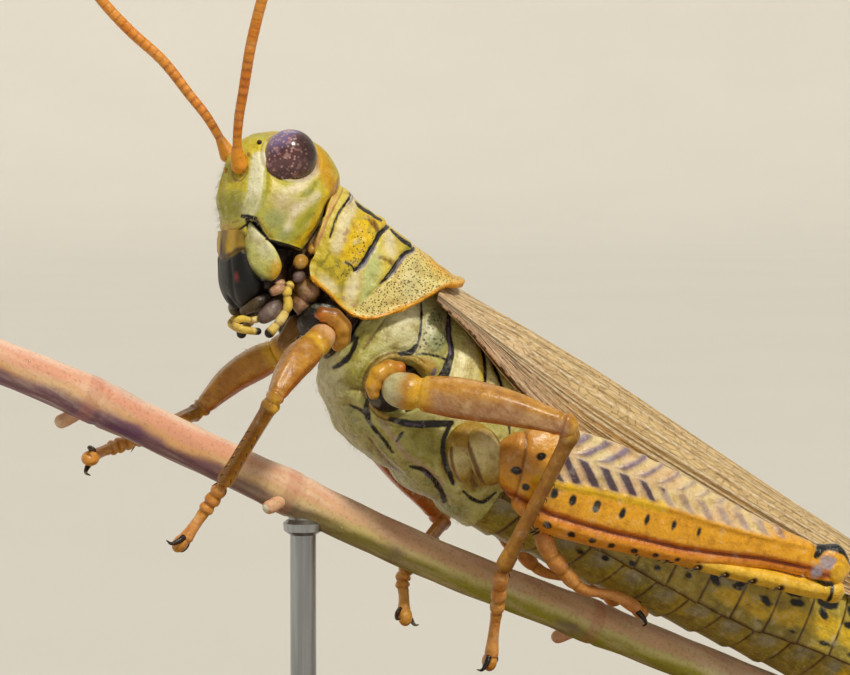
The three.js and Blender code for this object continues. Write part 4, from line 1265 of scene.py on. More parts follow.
@dataclass
class Shield:
    """The saddle-shaped shield over the first segment, with three dark grooves, in the body frame."""

    rows: Line = (
        (-8.7, 0.95, -7.5, 2.72, 0.36, 2.5, 2.2), (-7.5, 0.92, -7.5, 2.78, 0.36, 2.5, 2.2),
        (-6.95, 0.64, -7.5, 2.8, 0.36, 2.6, 2.2), (-6.0, 0.6, -7.5, 2.8, 0.36, 2.6, 2.2),
        (-5.3, 0.64, -7.5, 2.8, 0.36, 2.6, 2.2), (-4.7, 0.5, -7.5, 2.84, 0.36, 2.6, 2.2),
        (-3.2, 0.34, -7.5, 3.02, 0.36, 2.7, 2.2), (-1.4, 0.14, -7.5, 3.25, 0.36, 2.7, 2.2),
        (0.3, 0.0, -7.5, 3.35, 0.36, 2.7, 2.2))
    front: Line = ((-8.45, 1.0), (-8.45, 0.5), (-8.38, -0.7), (-8.22, -1.9), (-7.95, -2.7), (-7.9, -3.4), (-7.6,
                                                                                                           -3.9))
    rear: Line = ((-0.25, 0.04), (-0.3, -0.1), (-0.75, -0.45), (-1.35, -0.85), (-2.0, -1.8), (-2.7, -2.8),
                  (-3.7, -3.95), (-4.3, -4.32))
    lower: Line = ((-7.6, -3.9), (-7.1, -4.02), (-6.2, -4.2), (-5.4, -4.42), (-4.8, -4.44), (-4.3, -4.32))
    grooves: tuple[Line, Line, Line] = (
        ((-7.5, 1.1), (-7.52, 0.7), (-7.66, 0.17), (-7.79, -0.35), (-7.79, -0.98), (-7.66, -1.79)),
        ((-4.9, 0.8), (-5.0, 0.55), (-5.14, 0.31), (-5.45, -0.27), (-5.53, -0.87), (-5.61, -1.52), (-5.67, -2.1),
         (-5.81, -2.51)),
        ((-3.2, 0.7), (-3.4, 0.15), (-3.89, -0.46), (-4.06, -1.01), (-4.14, -1.55), (-4.23, -1.98), (-4.38, -2.43)))
    wall: float = 0.3

    def spots(self, line: Line) -> Array:
        """A side view line turned to (x, angle from the top), on the shield's own surface."""
        x, z = Path(line).at(np.linspace(0, 1, 80)).T
        top, bottom, _, waist, up_power, down_power = Profile(self.rows).at(x)
        middle = bottom + (top - bottom) * waist
        upper = z > middle
        rise = np.clip(np.where(upper, (z - middle) / (top - middle), (middle - z) / (middle - bottom)), 0, 1)
        rise = rise ** (np.where(upper, up_power, down_power) / 2)
        return np.stack([x, np.arccos(np.where(upper, rise, -rise))], -1)

    def surface(self) -> Surface:
        """The shield's surface: u runs from the left edge over the top and v from front to rear."""
        front, rear = self.spots(self.front), self.spots(self.rear)
        front[0, 1] = rear[0, 1] = 0.0
        lower = Path([tuple(spot) for spot in self.spots(self.lower)[::16]] + [tuple(rear[-1])])
        trunk = trunk_surface(self.rows)
        share = np.linspace(0, 1, 80)

        def surface(u: Array, v: Array) -> Array:
            """Places the points."""
            down = np.abs(2 * u - 1)
            ahead, behind = (np.stack([np.interp(down, share, edge[:, k]) for k in (0, 1)], -1) for edge in (front,
                                                                                                             rear))
            sag = lower.at(v) - (front[-1] + (rear[-1] - front[-1]) * v[:, None])
            x, angle = (ahead + (behind - ahead) * v[:, None] + sag * (down ** 3)[:, None]).T
            start, end = self.rows[0][0], self.rows[-1][0]
            return trunk(0.5 + np.sign(u - 0.5) * angle / (2 * np.pi), (x - start) / (end - start))

        return surface

    def edge(self, s: Spot) -> Array:
        """The distance to the lower and rear edges in the side view."""
        return to_line(s.side, self.lower[:-1] + self.rear[::-1])

    def relief(self, s: Spot) -> Array:
        """The grooves, the keel along the top, the raised edge and the gentle swellings between."""
        first, second, third = (to_line(s.side, groove) for groove in self.grooves)
        height = -0.06 * bump(first, 0.1) - 0.15 * bump(second, 0.15) - 0.13 * bump(third, 0.14)
        height += 0.05 * bump(s.y, 0.16) * step(s.v, 0.05, 0.12) + 0.12 * bump(self.edge(s), 0.16)
        height -= 0.07 * bump(to_line(s.side, [(-8.0, -0.1), (-8.1, -1.0), (-7.9, -2.6)]), 0.12)
        height += 0.1 * bump(to_patch(s.side, -6.6, -1.2, 0.6, 1.2, 0), 0.7)
        height += 0.03 * np.sin(s.x * 5 + 2 * np.sin(s.z * 3)) * np.sin(s.z * 4.5 + 1.5 * np.sin(s.x * 2.6))
        return height + 0.08 * bump(to_patch(s.side, -4.7, -2.4, 0.3, 1.0, 10), 0.5)

    def paint(self) -> dict[str, Field]:
        """The shield's painted fields."""
        shoulders = marks((((-6.98, 1.2, 0.44), (-6.33, 1.2, 0.43), (-5.72, 1.2, 0.45)), 0.3),
                          (((-4.8, 1.35, 0.2), (-4.28, 1.38, 0.16), (-3.75, 1.4, 0.1)), 0.26), taper=0.3)
        strokes = marks((((-5.8, -2.5), (-6.1, -2.4), (-6.42, -2.42)), 0.07), (self.grooves[0], 0.06),
                        (self.grooves[1], 0.12), (self.grooves[2], 0.1), taper=0.55)
        moved = [tuple((x + 0.13, z - 0.05) for x, z in groove) for groove in self.grooves]
        return {
            "dark": lambda s: np.minimum(shoulders(s), strokes(s)),
            # painted lavender sheen along the grooves
            "bloom": marks((moved[0][:3], 0.05), (moved[1][4:], 0.06), (moved[2][1:6], 0.05), taper=0.8),
            "rust": marks((((-5.0, -1.33), (-4.65, -1.26), (-4.3, -1.2)), 0.08), (-4.4, -1.22, 0.2, 0.14, 0),
                          (-5.8, -0.06, 0.3, 0.14, -30), (-6.15, -0.02, 0.2, 0.1, -30)),
            "yellow": marks((-6.3, -1.0, 0.62, 1.4, 4), (-6.35, -2.1, 0.6, 0.6, 0), (-5.5, 0.3, 0.6, 0.25, 0)),
            "lobe": marks((-7.2, -2.9, 0.75, 0.7, 0), (-6.2, -2.9, 0.5, 0.6, 0), (-6.0, -3.6, 0.3, 0.5, 20)),
            "pits": marks((-6.1, -1.2, 0.55, 1.5, 4), (-5.85, -0.9, 0.3, 0.9, 4), (-6.3, -2.8, 0.5, 0.5, 0)),
            "cream": marks((((-7.38, 0.5), (-7.37, -0.3), (-7.34, -0.9), (-7.25, -1.5), (-7.15, -2.05)), 0.26)),
            "specks": marks((((-7.2, -0.9), (-7.1, -1.6), (-7.2, -2.1)), 0.22), (-5.1, -3.9, 0.8, 0.25, 0)),
            "white": marks((-4.85, -0.35, 0.32, 0.55, 20), (-4.58, -0.75, 0.28, 0.25, 0), (-6.7, -3.72, 0.5, 0.2,
                                                                                           -8),
                           (-5.45, -3.3, 0.35, 0.7, 15)),
            "mint": marks((-5.0, -2.2, 0.42, 1.1, 14), (-4.75, -3.2, 0.3, 0.6, 14)),
            "straw": lambda s: read(((-4.6, -5.0), (-2.5, -4.33), (-1.3, -4.02), (-0.3, -3.6), (0.6, -3.25)),
                                    s.z) - s.x,
            "mist": marks((-3.0, -1.6, 0.5, 1.1, 12)),
            "amber": marks((-1.6, 0.0, 1.3, 0.45, -6), (-2.9, -3.2, 0.9, 0.3, 52)),
            "olive": marks((((-4.4, -2.5), (-4.55, -2.87), (-4.7, -3.3)), 0.07), (-3.78, -0.12, 0.26, 0.16, 30),
                           (((-7.6, -2.9), (-7.3, -3.15), (-7.0, -3.3)), 0.05)),
            "rim": lambda s: self.edge(s) - 0.12,
            "collar": marks((((-7.95, 0.9), (-8.12, -0.1), (-8.16, -1.0), (-8.0, -2.4)), 0.04)),
            "blush": marks((((-8.3, 0.9), (-8.28, -0.3), (-8.2, -1.3), (-8.05, -2.4)), 0.09)),
        }

    def skin(self) -> Skin:
        """The shield's skin."""
        return Skin(self.surface(), Place.BODY, 230, 160, self.relief, self.paint(), open=True, wall=self.wall)

    def build(self) -> None:
        """The shield."""
        dress(build("shield", self.skin()), SHIELD_FINISH, "pronotum", "pronotum")


# ---------- Thorax ----------

THORAX_FINISH = Cuticle("thorax_plates", 0xD8D486, 0xC6C26A, (
    Layer("olive", 0x9C9638, 0.5, 0.25, 1.0, 0.8),
    Layer("belly", 0xBCB878, 0.5, 0.25, 1.1, 0.9),
    Layer("belly", 0x8E9860, 0.3, 0.2, 0.8, 0.5, Pattern.SPECKS, 0.9),
    Layer("belly", 0x5E5834, 0.3, 0.1, 1.2, 0.35, Pattern.SPECKS, 3.4),
    Layer("cream", 0xF0EDC8, 0.7, 0.2, 1.0, 0.95),
    Layer("grey", 0xD2CFA2, 0.16, 0.06, 2.0, 0.95),
    Layer("slate", 0x98A274, 0.3, 0.12, 1.6, 0.9),
    Layer("grey", 0x4A4E30, 0.1, 0.0, 2.0, 0.7, Pattern.PITS, 4.6),
    Layer("yellow", 0xEFE6A6, 0.25, 0.1, 1.4, 0.95),
    Layer("edge", 0xF0CE34, 0.25, 0.12, 1.6, 0.9),
    Layer("gold", 0xAE8620, 0.2, 0.1, 2.0, 0.9),
    Layer("pink", 0xC8AE94, 0.1, 0.08, 2.2, 0.8),
    Layer("brown", 0x6A3A12, 0.07, 0.04, 2.6, 0.85),
    # dark: the black seams, and painted shade in the middle leg's socket and in the gap at the front
    Layer("dark", 0x17100C, 0.05, 0.06, 2.8),
    # bloom: a painted lavender sheen beside the seams
    Layer("bloom", 0x74648A, 0.05, 0.05, 2.8, 0.85),
), mottle=0.6, depth=0.05, pits="grey", pit_grain=4.6, pit_depth=0.045)


@dataclass
class Thorax:
    """The two wing-bearing segments, an armour of plates between dark seams, in the body frame."""

    rows: Line = (
        (-4.2, -0.7, -7.4, 2.25, 0.35, 2, 2.2), (-3.2, -0.75, -8.45, 2.7, 0.35, 2, 2.4),
        (-1.0, -1.2, -9.7, 3.15, 0.36, 1.9, 2.7), (2.0, -1.6, -10.1, 3.35, 0.38, 1.9, 2.7),
        (5.0, -1.8, -10.3, 3.2, 0.4, 1.9, 2.5), (6.4, -1.9, -10.35, 2.9, 0.42, 1.9, 2.3))
    seams: tuple[tuple[Line, float], ...] = (
        (((-1.75, -1.9), (-1.54, -2.47), (-1.25, -3.43), (-1.16, -4.01), (-1.4, -4.5)), 0.08),
        (((-1.16, -4.0), (-1.3, -4.5), (-1.75, -4.85)), 0.15),
        (((-0.07, -1.5), (0.17, -2.65), (0.65, -3.42), (0.8, -4.4)), 0.17),
        (((0.62, -3.6), (0.74, -4.5), (0.55, -5.1), (0.1, -5.5)), 0.26),
        (((-1.0, -4.45), (-0.46, -4.16), (0.26, -3.9), (0.6, -3.9)), 0.07),
        (((1.85, -1.98), (2.3, -2.6), (2.9, -3.9), (3.3, -4.9)), 0.1),
        (((2.17, -2.13), (3.1, -2.9), (4.2, -4.0), (5.2, -5.4)), 0.1),
        (((-3.95, -5.2), (-3.85, -6.2), (-4.05, -7.1)), 0.12),
        (((-2.05, -7.6), (-1.8, -8.15), (-1.45, -8.5)), 0.14),
        (((-2.5, -8.35), (-1.9, -8.3), (-1.3, -8.62), (-0.56, -8.9), (0.5, -9.3)), 0.1),
        (((0.29, -8.15), (0.3, -8.75)), 0.1),
        (((-0.6, -7.9), (0.4, -7.6), (1.4, -7.0), (2.19, -6.5)), 0.2),
        (((2.17, -6.44), (2.24, -7.34), (2.64, -8.07), (3.42, -8.74), (3.97, -9.12)), 0.15),
        (((1.69, -9.49), (2.27, -9.29), (2.94, -9.43), (3.69, -9.72), (4.47, -10.13)), 0.13),
        (((4.65, -9.17), (5.41, -9.29), (5.94, -9.15), (6.17, -8.4)), 0.1))
    creases: tuple[tuple[Line, float], ...] = (
        (((3.05, -6.3), (3.3, -7.2), (4.1, -8.1), (5.1, -8.6)), 0.1),
        (((-3.15, -3.6), (-3.3, -4.6), (-3.45, -5.6)), 0.05),
        (((-3.0, -7.6), (-2.4, -7.3), (-2.3, -6.9)), 0.05),
        (((-0.9, -9.3), (0.4, -9.75), (1.7, -10.0)), 0.06))
    ring: tuple[float, ...] = (-1.0, -6.35, 1.6, 1.55, 0)

    def rim(self, s: Spot) -> Array:
        """The distance outwards from the rim of the middle leg's socket."""
        return to_patch(s.side, *self.ring)

    def relief(self, s: Spot) -> Array:
        """Plates that swell between sunken seams, the rims of the leg sockets and small lumps behind them."""
        seams = np.maximum(marks(*self.seams, *self.creases)(s), 0)
        rim = self.rim(s)
        height = 0.2 * (1 - bump(seams, 0.45)) - 0.08 * bump(seams, 0.08)
        height += (0.16 * bump(rim, 0.15) - 0.08 * bump(rim - 0.28, 0.1)) * step(-s.x, 0.0, 0.9)
        height -= 0.45 * step(-rim, 0.05, 0.5)
        height += 0.22 * bump(np.maximum(to_patch(s.side, -0.45, -4.75, 0.45, 0.35, 20), 0), 0.3)
        height += 0.16 * bump(np.maximum(to_patch(s.side, 0.05, -5.2, 0.25, 0.3, 0), 0), 0.2)
        height += 0.04 * np.sin(s.x * 3.1 + 2 * np.sin(s.z * 1.7)) * np.sin(s.z * 2.6) * step(-s.z, 6.5, 8.0)
        return height - 0.1 * bump(s.y, 0.12) * step(-s.z, 7.5, 8.5) + 0.05 * bump(s.z + 3.0, 1.2) - 0.1

    def paint(self) -> dict[str, Field]:
        """The painted fields of the plates."""
        seams, creases = marks(*self.seams, taper=0.45), marks(*self.creases, taper=0.6)
        return {
            # dark: the seams, with painted shade in the upper half of the middle leg's socket and in the gap at the
            # front edge
            "dark": lambda s: np.minimum.reduce([
                seams(s), np.maximum(self.rim(s) + 0.3, -s.x - s.z - 7.3),
                np.maximum.reduce([s.x + 3.4 - 0.29 * (s.z + 3.3), -6.2 - s.z,
                                   -to_patch(s.side, -3.9, -4.4, 0.18, 0.8, -8)])]),
            "brown": lambda s: np.minimum(creases(s), np.maximum(np.abs(self.rim(s) - 0.17) - 0.05, s.x + 0.5)),
            "gold": lambda s: np.minimum(np.maximum(np.abs(self.rim(s) + 0.02) - 0.14, s.x + 0.3), marks(
                (-0.4, -4.75, 0.6, 0.4, 10), (4.6, -7.6, 1.1, 1.3, 0), (3.3, -7.9, 0.8, 1.2, 30))(s)),
            # painted lavender sheen beside the seams and on a lump below the socket
            "bloom": marks((((-0.02, -1.9), (0.22, -2.8), (0.62, -3.5)), 0.07), (((0.15, -7.72), (0.9, -7.4)),
                                                                                 0.05),
                           (((2.3, -9.35), (2.9, -9.48)), 0.05), (0.12, -4.9, 0.14, 0.24, 0), taper=0.5),
            "cream": marks((-2.1, -2.9, 0.7, 1.5, -16), (-1.6, -4.0, 0.3, 0.5, -10), (-3.6, -8.5, 0.3, 1.2, 20)),
            "grey": marks((-0.55, -2.75, 0.72, 1.45, -14)),
            "slate": marks((-0.3, -3.3, 0.5, 0.6, -14), (-0.8, -2.2, 0.3, 0.6, -14)),
            "yellow": marks((1.6, -3.7, 0.8, 2.1, -18), (2.7, -4.9, 0.9, 1.7, -30), (1.5, -5.8, 0.9, 0.8, 0)),
            "edge": marks((((1.9, -2.6), (2.7, -3.9), (3.3, -5.4)), 0.16), (2.4, -5.2, 0.3, 0.7, -20)),
            "pink": marks((((-0.9, -8.2), (0.0, -8.6), (1.0, -8.95), (2.6, -9.15), (3.6, -9.4)), 0.14)),
            "olive": marks((-3.05, -7.2, 0.8, 1.3, -25), (1.4, -8.1, 1.1, 0.8, -20), (-2.4, -6.3, 0.5, 1.2, 0),
                           (-3.75, -4.6, 0.3, 1.2, -10)),
            "belly": lambda s: to_line(s.side, [(-4.1, -7.7), (-2.5, -8.85), (-0.8, -9.4), (0.8, -9.75), (5.0,
                                                                                                          -10.2)],
                                       0.62),
        }

    def skin(self) -> Skin:
        """The armour's skin."""
        return Skin(trunk_surface(self.rows), Place.BODY, 270, 220, self.relief, self.paint())

    def build(self) -> None:
        """The armour."""
        dress(build("thorax_armour", self.skin()), THORAX_FINISH, "thorax", "thorax")


# ---------- Abdomen ----------

ABDOMEN_FINISH = Cuticle("abdomen_plates", 0xBCA63C, 0xA0923A, (
    Layer("mist", 0xA9A58E, 0.3, 0.2, 1.6, 0.8),
    Layer("bright", 0xF0C81E, 0.2, 0.15, 1.6, 0.95),
    Layer("grain", 0xD8C04A, 0.05, 0.0, 1.6, 0.45, Pattern.SPECKS, 5.5),
    Layer("grain", 0x6E6620, 0.05, 0.0, 1.6, 0.3, Pattern.STREAKS, 4.0),
    Layer("brown", 0x5A3410, 0.09, 0.06, 2.4, 0.85),
    Layer("dark", 0x15100B, 0.06, 0.09, 2.6),
), roughness=0.4, mottle=0.6)
VALVE_FINISH = Cuticle("valve_horn", 0xBE9A3A, 0xA27A26, (
    Layer("dark", 0x120D0A, 0.25, 0.1, 2.0),
), roughness=0.28, coat=0.3)


@dataclass
class Abdomen:
    """The ringed abdomen: roof plates that overlap floor plates, with the egg-laying valves."""

    rows: Line = (
        (6.4, -2.0, -10.3, 2.75, 0.4), (10, -2.2, -10.05, 2.7, 0.4), (16, -2.4, -9.6, 2.65, 0.42),
        (22, -2.5, -9.0, 2.5, 0.44), (26, -2.8, -8.6, 2.2, 0.46), (29, -3.2, -8.1, 1.75, 0.46),
        (30.4, -4.2, -7.3, 1.05, 0.46))
    front: float = 6.45
    rings: int = 12
    flare: float = 0.16
    lag: float = 0.15
    marks: tuple[tuple[float, ...], ...] = (
        (18.6, -6.45, 0.42, 0.2, -20), (19.9, -6.1, 0.38, 0.22, 20), (21.6, -6.05, 0.45, 0.2, -10),
        (23.2, -5.3, 0.42, 0.22, 15), (24.9, -5.1, 0.4, 0.2, -15), (26.6, -4.9, 0.38, 0.2, 10),
        (11.7, -8.7, 0.22, 0.14, 0), (13.0, -8.33, 0.22, 0.14, 10), (14.25, -7.9, 0.22, 0.14, 0),
        (15.55, -7.45, 0.22, 0.14, -10), (17.2, -6.94, 0.22, 0.14, 0))
    fold: Line = ((6.4, -8.0), (13.4, -7.75), (18.4, -7.55), (21.85, -7.3), (23.4, -6.95), (26.0, -6.5), (30.4,
                                                                                                          -6.0))

    @property
    def pitch(self) -> float:
        """The length of a ring."""
        return (self.rows[-1][0] - self.front) / self.rings

    def ring_share(self, x: Array, z: Array, roof: bool) -> Array:
        """How far along its ring a point is, from 0 to 1, where seams lean back as they go up."""
        lean = 0.12 if roof else -0.16
        return ((x + lean * (z + 7.6) - self.front) / self.pitch + (0.0 if roof else self.lag)) % 1.0

    def surface(self, roof: bool) -> Surface:
        """The surface of the roof plates, or of the floor plates."""
        table = Profile(self.rows)

        def surface(u: Array, v: Array) -> Array:
            """Places the points: u runs round and v runs back."""
            x = self.front + (self.rows[-1][0] - self.front) * v
            top, bottom, width, waist = table.at(x)
            middle = bottom + (top - bottom) * waist
            limit = np.arccos(-np.clip((middle - read(self.fold, x)) / (middle - bottom), 0.05, 0.95))
            angle = (2 * u - 1) * (limit + 0.12) if roof else np.pi + (2 * u - 1) * (np.pi - limit + 0.1)
            lean, rise = ellipse(angle, 2, 2)
            z = middle + np.where(rise > 0, top - middle, middle - bottom) * rise
            share = self.ring_share(x, z, roof)
            flare = self.flare * share ** 1.6 * (1 - step(share, 0.955, 0.995)) - (0.0 if roof else 0.12)
            edge = 0.1 * bump(np.minimum(u, 1 - u), 0.025) if roof else 0.0
            grow = (flare + edge + 0.05) * step(1 - v, 0.0, 0.015)
            return np.stack([x, (width + grow) * lean, z + grow * rise], -1)

        return surface

    def seam(self, s: Spot, roof: bool) -> Array:
        """The distance to the nearest rear edge of a ring, in mm."""
        share = self.ring_share(s.x, s.z, roof)
        return np.minimum(share, 1 - share) * self.pitch

    def spot(self, s: Spot, roof: bool, place: float, rise: float, long: float, high: float) -> Array:
        """The distance to an oval on each ring, at a share of its length and a height over the fold."""
        along = (self.ring_share(s.x, s.z, roof) - place) * self.pitch
        return (np.hypot(along / long, (s.z - read(self.fold, s.x) - rise) / high) - 1) * min(long, high)

    def fields(self, roof: bool) -> dict[str, Field]:
        """The painted fields of the roof plates, or of the floor plates."""
        def dark(s: Spot) -> Array:
            """Rear edges, small marks on the flank, bolder ones near the end, and the dark tip."""
            tip = np.where(s.x > 29.7, -0.2, NOTHING)
            painted = marks(*self.marks)(s)
            if not roof:
                return np.minimum.reduce([self.seam(s, roof) - 0.02, painted, tip])
            low = self.spot(s, roof, 0.72, 0.16, 0.4, 0.12) + 0.02 * (26 - s.x)
            upper = self.spot(s, roof, 0.4, 2.3, 0.7, 0.4)
            return np.minimum.reduce([self.seam(s, roof) - 0.02, painted, low, upper, tip])

        return {
            "dark": dark,
            "grain": lambda s: 0.2 - self.seam(s, roof),
            "brown": lambda s: np.minimum(self.seam(s, roof) - 0.1, np.minimum(s.u, 1 - s.u) * 9.0 - 0.1),
            "bright": lambda s: marks((20.0, -6.75, 1.0, 0.45, 15), (21.7, -6.55, 0.95, 0.5, 15),
                                      (23.5, -6.05, 1.1, 0.5, 20), (25.4, -5.6, 1.1, 0.6, 20),
                                      (27.4, -5.2, 1.1, 0.7, 15))(s) if roof else 27.5 - s.x,
            "mist": lambda s: self.spot(s, roof, 0.45, -0.7, 0.5, 0.4) if not roof
            else np.maximum(self.spot(s, roof, 0.4, 1.6, 0.7, 0.6), s.x - 20),
        }

    def build_plates(self) -> None:
        """The roof plates, the floor plates and the dark skin inside them."""
        for name, roof, solids in (("roof", True, ("abdomen",)), ("floor", False, ())):
            skin = Skin(self.surface(roof), Place.BODY, 100 if roof else 66, 380, None, self.fields(roof),
                        open=True,
                        wall=0.14)
            dress(build(f"abdomen_{name}", skin), ABDOMEN_FINISH, "abdomen", *solids)
        core = tuple((x, top - 0.3, bottom + 0.3, width - 0.3, waist, 2, 2) for x, top, bottom, width,
                     waist in self.rows)
        dress(build("abdomen_core", Skin(trunk_surface(core), Place.BODY, 60, 60)), NECK_FINISH, "abdomen")

    def build_end(self) -> None:
        """The tail plates, the two short feelers beside them and the hooked valves."""
        valves = []
        for rise in (1, -1):
            for side in (1, -1):
                line = ((29.2, 0.3, -5.8 + rise * 0.4), (30.6, 0.36, -5.8 + rise * 0.5), (31.7, 0.34,
                                                                                          -5.8 + rise * 0.62),
                        (32.35, 0.28, -5.8 + rise * 0.95), (32.7, 0.22, -5.8 + rise * 1.45))
                limb = Limb(flipped(line, side), ((0, 0.62, 0.62, 0.42), (0.5, 0.5, 0.5, 0.36), (0.8, 0.3, 0.3,
                                                                                                 0.26),
                                                  (1, 0.07, 0.07, 0.07)))
                valves.append(limb.skin(36, 60, lambda s: 0.03 * np.sin(s.x * 9) * (s.v < 0.6),
                                        {"dark": lambda s: 31.75 - s.x}))
        dress(build("valves", *valves), VALVE_FINISH, "abdomen", "ovipositor")
        shade = {"dark": lambda s: 0.7 - np.abs(s.x - 30.4) * 0.5}
        plate = Limb(((29.3, 0, -4.0), (30.5, 0, -4.3), (31.6, 0, -4.75)),
                     ((0, 0.4, 0.4, 0.95), (0.5, 0.35, 0.35, 0.8), (1, 0.12, 0.12, 0.25)))
        tail = [plate.skin(40, 40, None, shade)]
        for side in (1, -1):
            line = flipped(((29.9, 0.85, -4.9), (30.6, 1.05, -4.95), (31.2, 1.0, -4.9)), side)
            tail.append(Limb(line, ((0, 0.34), (0.5, 0.25), (1, 0.1))).skin(28, 30, None, shade))
        dress(build("tail_plates", *tail), VALVE_FINISH, "abdomen")

    def build(self) -> None:
        """The whole abdomen."""
        self.build_plates()
        self.build_end()


# ---------- Wings ----------

@dataclass(frozen=True)
class WingFinish:
    """Leathery fore wing: straw-coloured, with pale veins, rows of dark dashes and a fine net between them."""

    name: str = "wing_membrane"

    def make(self) -> bpy.types.Material:
        """Builds the material."""
        graph = Graph(self.name)
        lane, along, veins = (graph.field(name) for name in ("lane", "along", "veins"))
        upper = graph.field("upper").step(0.06, -0.06)
        row = graph.node("ShaderNodeMath", {"operation": "FLOOR"}, {0: lane * 3.0})
        cells = graph.node("ShaderNodeCombineXYZ", {}, {0: along * 1.5, 1: lane * 3.0, 2: 0.0})
        strip = graph.node("ShaderNodeCombineXYZ", {}, {0: along * 0.75, 1: row * 7.3, 2: 0.0})
        long = graph.node("ShaderNodeCombineXYZ", {}, {0: along * 0.22, 1: lane * 2.2, 2: 5.0})
        net = graph.cells(1.0, "DISTANCE_TO_EDGE", cells).step(0.1, 0.02)
        fine = lane.wave(1 / 3).step(0.14, 0.05)
        clouds = graph.noise(0.3, 4.0)
        colour = graph.mix(upper, 0xEACB94, 0xCC9A4C)
        colour = graph.mix(graph.noise(1.0, 3.0, long).step(0.4, 0.62) * 0.6, colour, 0xA07A44)
        colour = graph.mix(clouds.step(0.45, 0.65) * upper * 0.6, colour, 0x7A6638)
        dusk = (along + (clouds - 0.5) * 3.0).step(18.5, 20.5) * (along - (clouds - 0.5) * 3.0).step(26.0, 23.5)
        colour = graph.mix(dusk * upper * 0.7, colour, 0x6A5A3A)
        colour = graph.mix(graph.field("blush").step(0.6, -0.7) * 0.75, colour, 0xECC8AC)
        colour = graph.mix(lane.step(8.1, 9.0) * 0.7, colour, 0xF0C4A2)
        dash = graph.noise(1.0, 2.0, strip).step(0.52, 0.6) * lane.wave(1 / 3).step(0.12, 0.3)
        colour = graph.mix(dash * (upper * 0.4 + along.step(9.0, 3.0) * 0.3 + 0.25), colour, 0x4E3820)
        colour = graph.mix(net * 0.5, colour, 0x6A4C28)
        colour = graph.mix(fine * (graph.noise(0.5, 2.0).step(0.35, 0.6) * 0.5 + 0.25), colour, 0xE2C894)
        beads = graph.noise(1.8, 2.0, cells).step(0.42, 0.6)
        colour = graph.mix(veins.step(0.03, -0.02), colour, graph.mix(beads * 0.7, 0xF2E0BC, 0xC49A66))
        colour = graph.mix(graph.field("shade").step(0.1, -0.1) * 0.75, colour, 0x3A2818)
        normal = graph.relief(veins.step(0.1, -0.05) + fine * 0.5 - net * 0.4, 0.035)
        return graph.surface(Base_Color=colour, Roughness=clouds * 0.15 + 0.4, Normal=normal, Coat_Weight=0.08,
                             Coat_Roughness=0.3, IOR=1.48)


